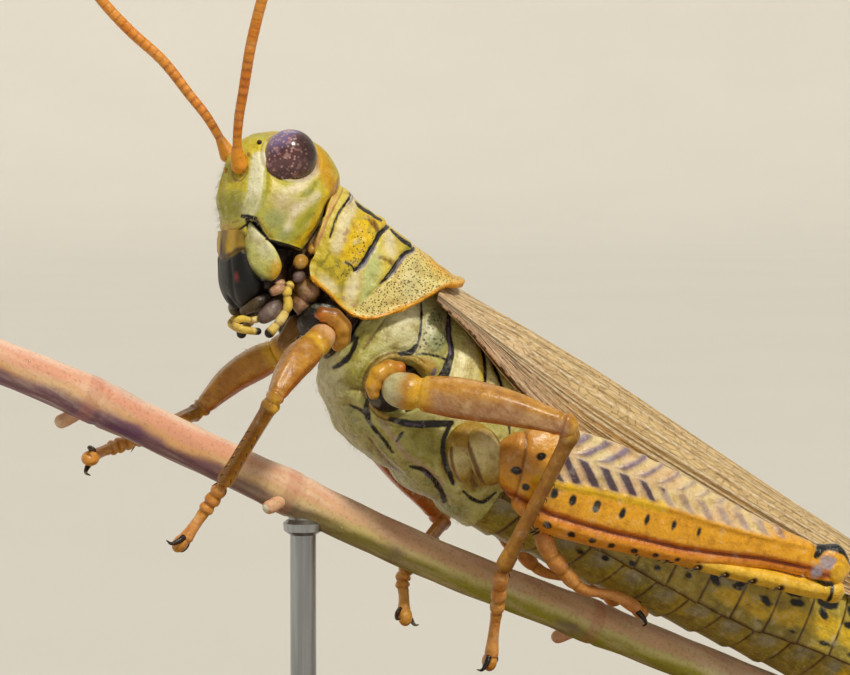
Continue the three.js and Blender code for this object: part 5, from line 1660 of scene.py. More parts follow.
@dataclass
class Wings:
    """The folded fore wings, the left over the right, with the pleats of a hind wing under each."""

    rows: Line = (
        (-1.6, -0.45, 2.7, -1.5, 2.9, -1.7), (0.5, -0.42, 2.6, -1.7, 3.05, -2.1), (4.0, -0.38, 2.45, -1.95, 3.1,
                                                                                   -3.2),
        (9.0, -0.36, 2.3, -2.15, 3.0, -4.2), (15.0, -0.6, 2.15, -2.2, 2.9, -4.4), (21.0, -0.85, 1.95, -2.2, 2.7,
                                                                                   -4.2),
        (25.5, -1.0, 1.5, -2.05, 2.0, -3.65), (28.0, -1.3, 0.9, -1.85, 1.2, -2.75), (29.1, -1.6, 0.35, -1.8, 0.45,
                                                                                     -2.05))
    front: float = -1.5
    tip: float = 29.1
    fold: float = 0.4
    veins: Line = (
        (0.0, 0.02, 0.06), (0.10, 0.10, 0.04), (0.20, 0.20, 0.035), (0.30, 0.31, 0.04), (0.40, 0.42, 0.08),
        (0.47, 0.50, 0.09), (0.51, 0.545, 0.11), (0.58, 0.66, 0.04), (0.64, 0.76, 0.04), (0.72, 0.87, 0.05),
        (0.85, 0.98, 0.08))

    def surface(self, lift: float, overlap: float, depth: float = 0.0, side: int = -1) -> Surface:
        """The outer face of a wing, whose inner edge lies over the middle by the overlap."""
        table = Profile(self.rows)

        def surface(u: Array, v: Array) -> Array:
            """Places the points: u runs back and v from the ridge to the lower edge."""
            x = self.front + (self.tip - self.front) * u
            ridge, fold_y, fold_z, edge_y, edge_z = table.at(x)
            inner = np.minimum(v / self.fold, 1)
            outer = np.maximum((v - self.fold) / (1 - self.fold), 0)
            inner_y = -overlap * np.minimum(fold_y / 2.0, 1)
            y = inner_y + (fold_y - inner_y) * inner + (edge_y - fold_y) * outer
            z = ridge + (fold_z - ridge) * inner ** 1.5 + (edge_z - fold_z) * outer
            turn = step(v, 0.1, 0.75)
            z = z + lift * (1 - 0.6 * turn) * (1 - 0.5 * turn) - depth * (1 - turn)
            return np.stack([x, side * (y + (lift - depth) * turn), z], -1)

        return surface

    def lane(self, u: Array, v: Array) -> Array:
        """Which gap between veins a place is in, as a number that is whole on each vein."""
        table = np.array(self.veins)
        spread = step(u, 0.0, 0.35)[:, None]
        rows = table[:, 1] * spread + table[:, 0] * (1 - spread)
        rows = 0.42 + (rows - 0.42) * (0.55 + 0.45 * step(u, 0.0, 0.2))[:, None]
        low = np.clip((v[:, None] >= rows).sum(1) - 1, 0, len(table) - 2)
        index = np.arange(len(u))
        return low + (v - rows[index, low]) / np.maximum(rows[index, low + 1] - rows[index, low], 1e-6)

    def vein_distance(self, s: Spot) -> Array:
        """The distance to the nearest vein's edge, in mm."""
        lane = self.lane(s.u, s.v)
        nearest = np.clip(np.round(lane), 0, len(self.veins) - 1).astype(int)
        width = 5.2 / len(self.veins) * (0.6 + 0.4 * step(s.u, 0.0, 0.3))
        return np.abs(lane - nearest) * width - np.array(self.veins)[nearest, 2]

    def paint(self) -> dict[str, Field]:
        """The painted fields of a wing."""
        return {
            "lane": lambda s: self.lane(s.u, s.v),
            "along": lambda s: s.x,
            "veins": self.vein_distance,
            "upper": lambda s: self.fold + 0.03 - s.v,
            "blush": lambda s: np.hypot((s.x - 1.0) / 6.5, (s.v - 0.75) / 0.4) - 1,
            "shade": lambda s: np.minimum(np.abs(s.v - 0.45) * 5 - 0.1 + 0.02 * s.x, 1.0),
        }

    def skin(self, side: int, lift: float, overlap: float) -> Skin:
        """The skin of a fore wing."""
        return Skin(self.surface(lift, overlap, side=side), Place.BODY, 340, 120,
                    lambda s: 0.035 * step(-self.vein_distance(s), -0.14, 0.04), self.paint(), open=True, wall=0.12)

    def build(self) -> None:
        """Both fore wings and the edges of the hind wings."""
        for name, side, lift, overlap in (("left", -1, 0.16, 0.42), ("right", 1, 0.05, 0.1)):
            dress(build(f"fore_wing_{name}", self.skin(side, lift, overlap)), WingFinish(), "wing",
                  f"tegmen_{name}")
            flat = self.surface(0.0, 0.0, 0.32, side)

            def pleats(u: Array, v: Array, flat: Surface = flat, side: int = side) -> Array:
                """A fan of folds packed under the lower edge of the fore wing."""
                spot = flat(0.03 + 0.94 * u, 0.42 + 0.62 * v)
                spot[:, 1] -= side * 0.12 * np.abs((v * 9) % 2 - 1)
                return spot

            fields = {**self.paint(), "lane": lambda s: s.v * 9, "upper": lambda s: -1.0 + 0 * s.u,
                      "veins": lambda s: np.abs((s.v * 9) % 1 - 0.5) * 0.5 - 0.03}
            skin = Skin(pleats, Place.BODY, 120, 60, None, fields, open=True, wall=0.05)
            dress(build(f"hind_wing_{name}", skin), WingFinish(), "wing")


# ---------- Legs ----------

LEG_FINISH = Cuticle("leg_cuticle", 0xD49A34, 0xC08424, (
    Layer("rust", 0xC8680A, 0.35, 0.15, 1.2, 0.9),
    # bloom: a painted lavender sheen, the sky reflected along the femur
    Layer("bloom", 0xC0A8A0, 0.3, 0.16, 1.4, 0.35),
    Layer("yellow", 0xF2BE30, 0.3, 0.1, 2.0, 0.9),
    Layer("pale", 0xD6D6A8, 0.3, 0.1, 2.0, 0.95),
    Layer("peach", 0xE8B888, 0.3, 0.1, 2.0, 0.95),
    Layer("shade", 0x8A5E16, 0.3, 0.12, 1.6, 0.8),
    Layer("streaks", 0x9A5210, 0.1, 0.0, 1.6, 0.35, Pattern.STREAKS, 3.4),
    Layer("brown", 0x743A0E, 0.1, 0.05, 2.0, 0.7),
    Layer("dark", 0x15100C, 0.07, 0.06, 2.0),
), roughness=0.38, coat=0.2, mottle=0.45, depth=0.02)
PAD_FINISH = Cuticle("foot_pad", 0xEAAA48, 0xDC9234, (
    Layer("pink", 0xE8A478, 0.2, 0.12, 1.8, 0.25),
    Layer("brown", 0x9A5214, 0.1, 0.05, 2.0, 0.6),
), roughness=0.36, coat=0.2)
CLAW_FINISH = Cuticle("claw_horn", 0x3A2010, 0x160D08, roughness=0.24, coat=0.4)
THIGH_FINISH = Cuticle("hind_thigh", 0xF6E0A2, 0xEFCB9A, (
    Layer("orange", 0xECAA30, 0.6, 0.25, 1.0, 0.9),
    Layer("band", 0xFAB41E, 0.14, 0.05, 1.4),
    Layer("under", 0xF2A01C, 0.2, 0.08, 1.4),
    Layer("rust", 0xA85C14, 0.6, 0.25, 1.2, 0.45),
    Layer("faint", 0xB89A98, 0.12, 0.08, 2.0, 0.6),
    Layer("ridge", 0xFAC908, 0.12, 0.07, 1.6, 0.95),
    Layer("haze", 0xA8929C, 0.16, 0.12, 2.4, 0.5),
    Layer("bars", 0x4A384A, 0.06, 0.06, 2.4, 0.92),
    Layer("upper_bars", 0x8A7890, 0.07, 0.06, 2.4, 0.85),
    Layer("groove_side", 0xC8600C, 0.16, 0.06, 2.0, 0.8),
    Layer("groove", 0x8E3C06, 0.07, 0.05, 2.0, 0.9),
    Layer("lilac", 0xB4AABE, 0.1, 0.06, 2.0, 0.9),
    Layer("knee", 0xF4BC1C, 0.1, 0.05, 2.0),
    Layer("joint", 0x6A3A14, 0.08, 0.05, 2.0, 0.85),
    # dark: the black spots and knee crescent, and painted shade under the knee
    Layer("dark", 0x120D0B, 0.06, 0.06, 2.8),
), roughness=0.36, coat=0.22, mottle=0.5)
SHIN_FINISH = Cuticle("hind_shin", 0xEFAE26, 0xE29A20, (
    Layer("yellow", 0xF8C83A, 0.25, 0.1, 1.6),
    Layer("rust", 0xB8640E, 0.4, 0.15, 1.6, 0.85),
    Layer("dark", 0x130E0C, 0.06, 0.05, 2.6),
), roughness=0.36, coat=0.22)


def round_gap(u: Array, place: float) -> Array:
    """How far places round a limb are from one of them, as a share of the way round."""
    gap = np.abs(u - place) % 1.0
    return np.minimum(gap, 1 - gap)


def thorn(foot: Array, way: Array, length: float, girth: float, tip: float = 0.45) -> Skin:
    """A sharp spine with a dark tip, in the body frame.

    Args:
        foot: Where it grows from.
        way: The way it points, of length 1.
        length: How long it is.
        girth: Its half size at the foot.
        tip: The share of its length that is dark.

    Returns:
        Its skin.
    """
    limb = Limb((foot - way * 0.1, foot + way * length * 0.5, foot + way * length),
                ((0, girth), (0.4, girth * 0.72), (0.85, girth * 0.26), (1, girth * 0.1)))
    return limb.skin(10, 12, None, {"dark": lambda s: (1 - tip - limb.share(s.v)) * length})


def build_foot(name: str, line: Line, claw: tuple[float, float, float], pads: Line, creases: Sequence[float],
               solid: str) -> None:
    """A foot: its padded joints, the soft lobe at its tip and the two claws beside that.

    Args:
        name: The leg's name.
        line: The points from the ankle to the tip, in the body frame.
        claw: The way that the claws bend.
        pads: The rows of sizes.
        creases: Where the joints meet, as shares of the length.
        solid: The solid that it stands for.
    """
    limb = Limb(line, pads, bunch=0.2)
    fields = {"brown": lambda s: limb.from_joints(s, creases) - 0.06,
              "pink": lambda s: 0.22 - limb.from_joints(s, creases)}
    skin = limb.skin(36, 110, lambda s: -0.04 * bump(limb.from_joints(s, creases), 0.09), fields)
    dress(build(f"{name}_foot", skin), PAD_FINISH, "leg", solid)
    tip, hook = np.array(line[-1]), np.array(claw)
    along = unit(tip - np.array(line[-2]))
    apart = unit(np.cross(along, hook))
    turn = Vector(along).to_track_quat("X", "Z").to_matrix()
    dress(ball(f"{name}_lobe", tip + along * 0.1 + hook * 0.12, (0.5, 0.42, 0.36), Place.BODY, turn, None, 32),
          PAD_FINISH, "leg")
    hooks = []
    for side in (-1, 1):
        bend = (tip - along * 0.3 + apart * side * 0.2, tip + along * 0.12 + apart * side * 0.52,
                tip + along * 0.38 + apart * side * 0.68 + hook * 0.2,
                tip + along * 0.35 + apart * side * 0.7 + hook * 0.6)
        hooks.append(Limb(bend, ((0, 0.17), (0.4, 0.14), (0.75, 0.08), (1, 0.02))).skin(16, 30))
    dress(build(f"{name}_claws", *hooks), CLAW_FINISH, "leg")


@dataclass
class WalkingLeg:
    """A fore or mid leg, from the body wall to its claws, in the body frame."""

    name: str
    wall: tuple[float, float, float]
    coxa: tuple[float, float, float]
    hip: tuple[float, float, float]
    knee: tuple[float, float, float]
    bow: tuple[float, float, float]
    ankle: tuple[float, float, float]
    foot: Line
    claw: tuple[float, float, float]
    stout: float = 0.8
    arc: tuple[float, float] = (-85.0, 85.0)
    # where round the femur its painted lavender sheen lies
    bloom: float = 0.5
    rust: float = 0.0
    tip: str = "peach"
    seat: float = 1.0
    pads: Line = ((0, 0.34), (0.1, 0.4), (0.2, 0.36), (0.3, 0.4), (0.36, 0.34), (0.44, 0.38), (0.5, 0.32), (0.6,
                                                                                                            0.27),
                  (0.8, 0.29), (0.94, 0.36), (1, 0.34))
    spines: int = 7

    def build_hip(self) -> None:
        """The first joint: a seat painted dark for the shade in the socket's hollow, a golden cushion bent round it
        with a painted yellow highlight, and a pale bulb at the thigh.
        """
        wall, coxa, hip, knee = (np.array(spot) for spot in (self.wall, self.coxa, self.hip, self.knee))
        girth, out, way = self.seat, unit(coxa - wall), unit(knee - hip)
        thigh = self.stout
        seat = Limb((wall, wall + (coxa - wall) * 0.5, coxa - out * 0.35),
                    ((0, girth * 1.3), (0.6, girth * 1.28), (1, girth * 1.1)), bunch=0.6)
        away = unit((out @ way) * out - way)
        up = np.cross(out, away)
        up = up * (1 if up[2] > 0 else -1)
        arc = []
        for i in range(9):
            turn = math.radians(self.arc[0] + (self.arc[1] - self.arc[0]) * i / 8)
            arc.append(coxa - out * 0.25 + (away * math.cos(turn) + up * math.sin(turn)) * girth * 1.02)
        cushion = Limb(arc, ((0, 0.2), (0.15, 0.36 * girth), (0.5, 0.46 * girth), (0.85, 0.38 * girth), (1, 0.2)),
                       flank=tuple(out), bunch=0.3)
        bulb = Limb((coxa - out * 0.5 + away * girth * 0.3, (coxa + hip) / 2 + away * 0.1, hip + way * 0.85),
                    ((0, thigh * 0.6), (0.3, thigh * 0.82), (0.8, thigh * 0.9), (1, thigh * 0.76)))
        skins = (
            # the seat is painted dark all over: painted shade in the hollow of the socket
            seat.skin(56, 40, None, {"dark": lambda s: -0.5 + 0 * s.v}),
            cushion.skin(32, 90, lambda s: 0.03 * np.sin(s.v * 31), {
                # yellow: a painted highlight, a small spot on the cushion
                "yellow": lambda s: 0.1 - np.minimum(0.3 - round_gap(s.u, 0.4), 0.22 - np.abs(s.v - 0.35)) * 2,
                "rust": lambda s: (0.8 - s.v) * 2,
                "brown": lambda s: (0.38 - round_gap(s.u, 0.5)) * 3}),
            bulb.skin(48, 60, None, {
                self.tip: lambda s: (bulb.share(s.v) - 0.5) * 2, "yellow": lambda s: (0.7 - bulb.share(s.v)) * 2}))
        dress(build(f"{self.name}_hip", *skins), LEG_FINISH, "leg", f"{self.name}_coxa")

    def thigh(self) -> Skin:
        """The skin of the femur, ridged along its length and swollen a little at the knee."""
        hip, knee = np.array(self.hip), np.array(self.knee)
        sizes = ((0, 0.72), (0.1, 0.86), (0.3, 0.98), (0.6, 0.84), (0.84, 0.6), (0.93, 0.62), (1, 0.5))
        limb = Limb((hip, (hip + knee) / 2 + np.array(self.bow), knee + unit(knee - hip) * 0.2),
                    tuple((place, self.stout * size) for place, size in sizes), power=2.3, bunch=0.4)

        def ridges(s: Spot) -> Array:
            """Long low ridges, and a notch behind the knee."""
            share = limb.share(s.v)
            long = 0.03 * np.cos(s.u * 2 * np.pi * 5) * step(share, 0.08, 0.2) * step(1 - share, 0.1, 0.2)
            return long - 0.09 * bump((share - 0.9) * limb.length, 0.14) - 0.06 * bump((share - 0.07) * limb.length,
                                                                                       0.1)

        fields = {
            "yellow": lambda s: np.minimum(limb.along(s) - 0.9, (0.97 - limb.share(s.v)) * limb.length),
            # a painted lavender sheen along the thigh
            "bloom": lambda s: np.maximum((round_gap(s.u, self.bloom) - 0.08) * 6, 1.3 - limb.along(s)),
            "rust": lambda s: (round_gap(s.u, self.rust) - 0.17) * 6,
            "streaks": lambda s: 1.6 - limb.along(s),
            "brown": lambda s: np.abs(limb.share(s.v) - 0.92) * limb.length - 0.03,
        }
        return limb.skin(72, 150, ridges, fields)

    def shin(self) -> list[Skin]:
        """The skins of the tibia and of the double row of short spines along its inner edge."""
        knee, ankle = np.array(self.knee), np.array(self.ankle)
        limb = Limb((knee, (knee + ankle) / 2, ankle),
                    ((0, 0.42), (0.06, 0.46), (0.14, 0.37), (0.8, 0.36), (0.93, 0.43), (1, 0.4)), power=2.2)
        fields = {
            "brown": lambda s: np.abs(limb.share(s.v) - 0.1) * limb.length - 0.02,
            "shade": lambda s: (round_gap(s.u, self.rust + 0.5) - 0.25) * 3,
            "streaks": lambda s: 0.5 - limb.along(s),
            "yellow": lambda s: np.abs(limb.share(s.v) - 0.04) * limb.length - 0.12,
        }
        skins = [limb.skin(48, 110, lambda s: 0.02 * np.cos(s.u * 2 * np.pi * 6), fields)]
        way = unit(ankle - knee)
        inward = unit(np.cross(np.cross(way, np.array(self.foot[-1]) - np.array(self.hip)), way))
        apart = np.cross(way, inward)
        for i in range(self.spines):
            spot = limb.path.at(np.array([0.34 + 0.62 * i / (self.spines - 1)]))[0]
            for side in (-1, 1):
                out = unit(inward * 0.8 + apart * side * 0.6)
                skins.append(thorn(spot + out * 0.3, unit(out + way * 0.9), 0.34 + 0.14 * (i == self.spines - 1),
                                   0.06, 0.5))
        return skins

    def build(self) -> None:
        """The whole leg."""
        self.build_hip()
        dress(build(f"{self.name}_thigh", self.thigh()), LEG_FINISH, "leg", f"{self.name}_femur")
        dress(build(f"{self.name}_shin", *self.shin()), LEG_FINISH, "leg", f"{self.name}_tibia")
        build_foot(self.name, (self.ankle, *self.foot), self.claw, self.pads, (0.2, 0.36, 0.5),
                   f"{self.name}_tarsus")


WALKING_LEGS = (
    WalkingLeg("fore_left", (-5.8, -1.6, -5.2), (-5.75, -3.3, -6.1), (-5.9, -3.6, -6.45), (-6.95, -6.2, -10.1),
               (-0.25, -0.2, 0), (-6.1, -2.4, -14.7),
               ((-6.07, -1.95, -15.8), (-6.14, -1.8, -17.0), (-6.24, -1.8, -18.1)), (-0.6, 0.5, 0), 0.78),
    WalkingLeg("fore_right", (-5.8, 1.6, -5.2), (-5.4, 3.3, -6.7), (-5.4, 3.5, -7.2), (-7.3, 4.7, -12.0),
               (-0.3, 0.4, 0), (-10.1, 1.95, -15.0),
               ((-10.7, 1.6, -15.6), (-11.3, 1.2, -16.2), (-11.85, 0.5, -16.75)), (0.5, -0.6, 0), 0.85),
    WalkingLeg("mid_left", (-1.5, -2.4, -6.7), (-1.45, -4.15, -6.6), (-0.95, -4.7, -6.35), (6.2, -8.0, -4.0),
               (0, -0.1, 0.25), (7.95, -4.0, -11.6), ((9.1, -2.8, -13.2), (9.95, -2.1, -14.6), (10.5, -1.9, -15.6)),
               (-0.4, 0.5, -0.3), 1.02, (-40.0, 115.0), 0.3, 0.55, "pale"),
    WalkingLeg("mid_right", (-1.5, 2.4, -6.7), (-1.3, 4.1, -7.0), (-0.9, 4.4, -7.5), (7.4, 6.4, -10.4),
               (0.2, 0.3, -0.2), (5.5, 2.0, -13.5), ((5.5, 1.6, -14.3), (5.9, 1.3, -15.0), (6.25, 0.9, -15.8)),
               (0.3, -0.6, 0.2), 1.02, (-40.0, 115.0), 0.7, 0.45, "pale"),
)


@dataclass
class HindLeg:
    """A jumping leg folded along the body, in the body frame; its measures are the left one's."""

    hip: tuple[float, float, float] = (4.5, -4.3, -6.75)
    length: float = 19.7
    rise: float = 11.3
    spread: float = 1.8
    shin_line: Line = ((24.1, -4.9, -3.8), (22.4, -4.85, -4.5), (19.9, -4.8, -5.25), (17.8, -4.75, -5.88),
                       (14.7, -4.6, -6.7), (10.8, -4.3, -7.75), (8.8, -4.1, -8.5))
    foot: Line = ((8.7, -4.1, -8.9), (9.6, -3.9, -9.55), (10.98, -3.5, -10.0), (12.4, -3.2, -10.3), (14.2, -2.8,
                                                                                                     -9.75),
                  (16.0, -2.2, -9.7))
    thigh_rows: Line = (
        (0.00, 1.3, 1.3, 0.8), (0.06, 1.7, 1.8, 1.0), (0.12, 2.15, 2.55, 1.1), (0.19, 2.35, 2.95, 1.15),
        (0.28, 2.35, 2.9, 1.15), (0.36, 2.2, 2.75, 1.1), (0.48, 1.95, 2.45, 1.0), (0.55, 1.7, 2.25, 0.9),
        (0.62, 1.45, 1.9, 0.82), (0.70, 1.2, 1.4, 0.72), (0.80, 0.95, 0.95, 0.62), (0.90, 0.95, 0.85, 0.68),
        (0.95, 1.25, 1.1, 0.75), (1.00, 1.0, 1.0, 0.7))
    ridge: Line = ((0.0, -0.6), (3.3, -0.46), (5.0, -0.21), (7.05, 0.01), (9.1, 0.18), (11.8, 0.2), (14.4, 0.36),
                   (16.95, 0.62), (20.0, 0.6))
    groove: Line = ((0.0, -1.5), (3.4, -2.03), (5.0, -1.99), (6.7, -1.9), (8.2, -1.75), (10.5, -1.55), (12.3,
                                                                                                        -1.25),
                    (14.8, -0.75), (17.4, -0.44), (20.0, -0.4))
    crest: Line = ((0, 1.3), (3.7, 2.2), (5.7, 2.3), (8.75, 1.95), (11.9, 1.4), (15.1, 1.0), (17, 0.8))
    bar_pitch: float = 1.1
    first_bar: float = 3.9
    spots: tuple[tuple[float, ...], ...] = (
        (3.22, -0.95, 0.2, 0.28, 0), (4.21, -0.97, 0.2, 0.3, 0), (5.47, -0.87, 0.2, 0.3, 0), (6.86, -0.79, 0.17,
                                                                                              0.29, 0),
        (8.21, -0.67, 0.14, 0.27, 0), (9.64, -0.52, 0.12, 0.25, 0), (11.04, -0.44, 0.09, 0.2, 0),
        (3.52, -2.5, 0.24, 0.17, -20), (4.86, -2.57, 0.22, 0.16, -20), (6.01, -2.52, 0.2, 0.15, -20),
        (7.04, -2.46, 0.19, 0.15, -20), (8.28, -2.34, 0.19, 0.15, -20), (9.4, -2.2, 0.16, 0.14, -20),
        (10.58, -2.06, 0.14, 0.13, -20), (11.73, -1.9, 0.12, 0.1, -20),
        (1.06, -0.5, 0.26, 0.2, 20), (1.97, 0.56, 0.26, 0.2, 30), (1.77, -1.1, 0.2, 0.17, 0))

    def axes(self, s: Spot) -> Array:
        """How far points are along the thigh from the hip, and above its axis."""
        x, z = s.x - self.hip[0], s.z - self.hip[2]
        c, d = math.cos(math.radians(self.rise)), math.sin(math.radians(self.rise))
        return np.stack([x * c + z * d, z * c - x * d], -1)

    def bars(self, s: Spot, upper: bool) -> Array:
        """The distance to the slanting bars of the thigh's outer face, above or below their meeting line."""
        along, up = self.axes(s).T
        apex = 1.2
        fade = 0.09 * step(along, 6.0, 9.0)
        if upper:
            lean, steep, half, ends = -1.27 * (up - apex), 0.62, 0.11, np.maximum(apex + 0.08 - up, up - apex - 1.0)
        else:
            lean, steep, half, ends = -1.0 * (apex - up), 0.71, 0.18, np.maximum(read(self.ridge, along) + 0.2 - up,
                                                                               up - apex + 0.18)
        place = (along - self.first_bar + lean) / self.bar_pitch
        bars = np.abs((place + 0.5) % 1 - 0.5) * self.bar_pitch * steep - half + fade
        return np.maximum.reduce([bars, ends, self.first_bar - 1.2 - along, along - 15.5])

    def thigh_relief(self, s: Spot) -> Array:
        """The long ridges and grooves, the low bars between them and the joint of the knee."""
        along, up = self.axes(s).T
        middle = step(along, 1.0, 2.6) * step(-along, -18.0, -16.6)
        ridge, groove = up - read(self.ridge, along), up - read(self.groove, along)
        height = middle * (0.12 * bump(ridge, 0.16) - 0.18 * bump(groove, 0.14) + 0.1 * bump(groove + 0.4, 0.22))
        bars = np.minimum(self.bars(s, True), self.bars(s, False))
        height += 0.07 * middle * step(-bars, -0.14, 0.05)
        height += 0.08 * middle * bump(up - read(self.crest, along), 0.14)
        height -= 0.12 * bump(along - 1.25 + 0.15 * up, 0.16) + 0.13 * bump(along - 17.4, 0.14)
        return height - 0.07 * bump(np.hypot(along - 18.9, up + 0.15) - 0.55, 0.12)

    def thigh_paint(self) -> dict[str, Field]:
        """The painted fields of the thigh."""
        def above(s: Spot, line: Line) -> Array:
            """How far places are above a line along the thigh."""
            along, up = self.axes(s).T
            return up - read(line, along)

        def dark(s: Spot) -> Array:
            """The rows of spots, the joint at the hip, the crescent on the knee, and painted shade under the knee.
            """
            place = self.axes(s)
            knee = to_line(place, ((17.5, 0.3), (17.7, 0.85), (18.2, 1.05), (19.0, 1.0), (19.5, 0.6)), 0.24, 0.5)
            spots = [to_patch(place, *spot) for spot in self.spots]
            # the last patch is painted shade under the knee
            return np.minimum.reduce([*spots, knee, to_patch(place, 18.4, -1.0, 0.8, 0.3, 10)])

        return {
            "bars": lambda s: np.maximum(self.bars(s, False), self.axes(s)[:, 0] - 8.6),
            "upper_bars": lambda s: np.maximum(self.bars(s, True), self.axes(s)[:, 0] - 9.6),
            "faint": lambda s: np.minimum(self.bars(s, False), self.bars(s, True)),
            "joint": lambda s: np.abs(self.axes(s)[:, 0] - 1.25 + 0.15 * self.axes(s)[:, 1]) - 0.05,
            "haze": lambda s: np.minimum(self.bars(s, False), self.bars(s, True)) - 0.1,
            "band": lambda s: np.maximum(above(s, self.ridge) - 0.1, -above(s, self.groove)),
            "ridge": lambda s: np.maximum(np.abs(above(s, self.ridge) + 0.02) - 0.24,
                                          np.abs(self.axes(s)[:, 0] - 5.5) - 3.5),
            "under": lambda s: above(s, self.groove) + 0.05,
            "groove": lambda s: np.abs(above(s, self.groove)) - 0.08,
            "groove_side": lambda s: np.abs(above(s, self.groove) - 0.05) - 0.24,
            "orange": lambda s: np.minimum(self.axes(s)[:, 0] - 2.9, 14.6 - self.axes(s)[:, 0]),
            "rust": lambda s: to_patch(self.axes(s), 0.6, 0.5, 1.3, 1.6, 0),
            "lilac": lambda s: np.minimum(to_patch(self.axes(s), 18.2, 0.2, 0.5, 0.35, 0),
                                          to_patch(self.axes(s), 17.8, -0.4, 0.25, 0.4, 0)),
            "knee": lambda s: to_patch(self.axes(s), 19.0, -0.1, 0.55, 0.7, 0),
            "dark": dark,
        }

    def thigh(self, side: int) -> Skin:
        """The skin of the thigh, where side is -1 on the right."""
        hip = np.array(self.hip)
        rise, spread = math.radians(self.rise), math.radians(self.spread)
        knee = hip + self.length * np.array([math.cos(spread) * math.cos(rise), -math.sin(spread),
                                             math.cos(spread) * math.sin(rise)])
        limb = Limb(flipped((hip, (hip + knee) / 2, knee), side), self.thigh_rows, (0, -1, 0), 2.3, 0.25)
        return limb.skin(220, 290, self.thigh_relief, self.thigh_paint())

    def build_shin(self, name: str, side: int) -> None:
        """The shin, with its double row of spines and the four spurs at its end."""
        shin = Limb(flipped(self.shin_line, side),
                    ((0, 0.6), (0.05, 0.58), (0.1, 0.47), (0.5, 0.43), (0.9, 0.44), (0.96, 0.5), (1, 0.46)),
                    power=2.2, bunch=0.2)
        skins, feet = [], []
        for i in range(9):
            spot = shin.path.at(np.array([0.2 + 0.75 * i / 8]))[0]
            for lean in (-1, 1):
                way = unit(np.array([-0.62, lean * 0.5, -0.8]))
                skins.append(thorn(spot + way * 0.34, way, 0.7, 0.12, 0.55))
                feet.append(spot + way * 0.4)
        ankle = shin.path.at(np.array([0.985]))[0]
        for lean, drop in ((-1, -0.5), (1, -0.5), (-0.7, -0.9), (0.7, -0.9)):
            way = unit(np.array([-0.75, lean * 0.5, drop]))
            skins.append(thorn(ankle + way * 0.35, way, 0.9, 0.12))

        def sockets(s: Spot) -> Array:
            """Black rings at the feet of the spines, and the dark mark by the knee."""
            rings = [np.linalg.norm(s.p - foot, axis=1) - 0.26 for foot in feet]
            return np.minimum.reduce([*rings, np.abs(shin.share(s.v) - 0.055) * shin.length - 0.1])

        fields = {"dark": sockets, "yellow": lambda s: (shin.share(s.v) - 0.5) * shin.length,
                  "rust": lambda s: (0.94 - shin.share(s.v)) * shin.length}
        body = shin.skin(64, 300,
                         lambda s: 0.03 * np.cos(s.u * 2 * np.pi * 4) - 0.07 * bump(shin.share(s.v) - 0.075,
                                                                                            0.012), fields)
        dress(build(f"jumping_shin_{name}", body, *skins), SHIN_FINISH, "leg", f"hind_{name}_tibia")

    def build_side(self, name: str, side: int) -> None:
        """One of the two hind legs; the right one is the left one's mirror image."""
        dress(build(f"jumping_thigh_{name}", self.thigh(side)), THIGH_FINISH, "hind_femur", f"hind_{name}_femur")
        self.build_shin(name, side)
        pads = ((0, 0.36), (0.08, 0.46), (0.16, 0.42), (0.24, 0.46), (0.32, 0.38), (0.4, 0.41), (0.47, 0.32),
                (0.56, 0.26), (0.74, 0.25), (0.92, 0.34), (1, 0.3))
        build_foot(f"hind_{name}", flipped(self.foot, side), (-0.1, 0.3 * side, -0.5), pads, (0.18, 0.32, 0.46),
                   f"hind_{name}_tarsus")
        base = Limb(flipped(((3.4, -1.8, -7.1), (3.8, -3.2, -7.0), (4.2, -4.0, -6.9)), side),
                    ((0, 1.45), (0.6, 1.35), (0.85, 1.15), (1, 0.8)))
        lobe = Limb(flipped(((3.2, -3.3, -6.2), (4.0, -3.85, -6.8), (4.8, -3.95, -7.5), (5.4, -3.6, -8.1)), side),
                    ((0, 0.5), (0.3, 0.85), (0.7, 0.85), (1, 0.5)))
        plate = Limb(flipped(((2.9, -3.1, -7.0), (3.4, -3.45, -7.8), (4.3, -3.3, -8.7)), side),
                     ((0, 0.45), (0.5, 0.62), (1, 0.3)))
        skins = [base.skin(64, 60, None, {"gold": lambda s: -0.2 + 0 * s.v, "dark": lambda s: (0.92 - s.v) * 3})]
        for part in (lobe, plate):
            skins.append(part.skin(48, 50, None, {
                "gold": lambda s: 0.12 - np.abs(s.v - 0.45),
                # yellow: a painted soft highlight on the lobe and the plate, round their golden middle
                "yellow": lambda s: np.abs(s.v - 0.45) - 0.3,
                "brown": lambda s: np.abs(np.minimum(round_gap(s.u, 0.25), round_gap(s.u,
                                                                                     0.75)) - 0.17) * 4 - 0.12}))
        dress(build(f"jumping_hip_{name}", *skins), THORAX_FINISH, "leg", f"hind_{name}_coxa")

    def build(self) -> None:
        """Both hind legs."""
        self.build_side("left", 1)
        self.build_side("right", -1)


# ---------- Perch and stand ----------

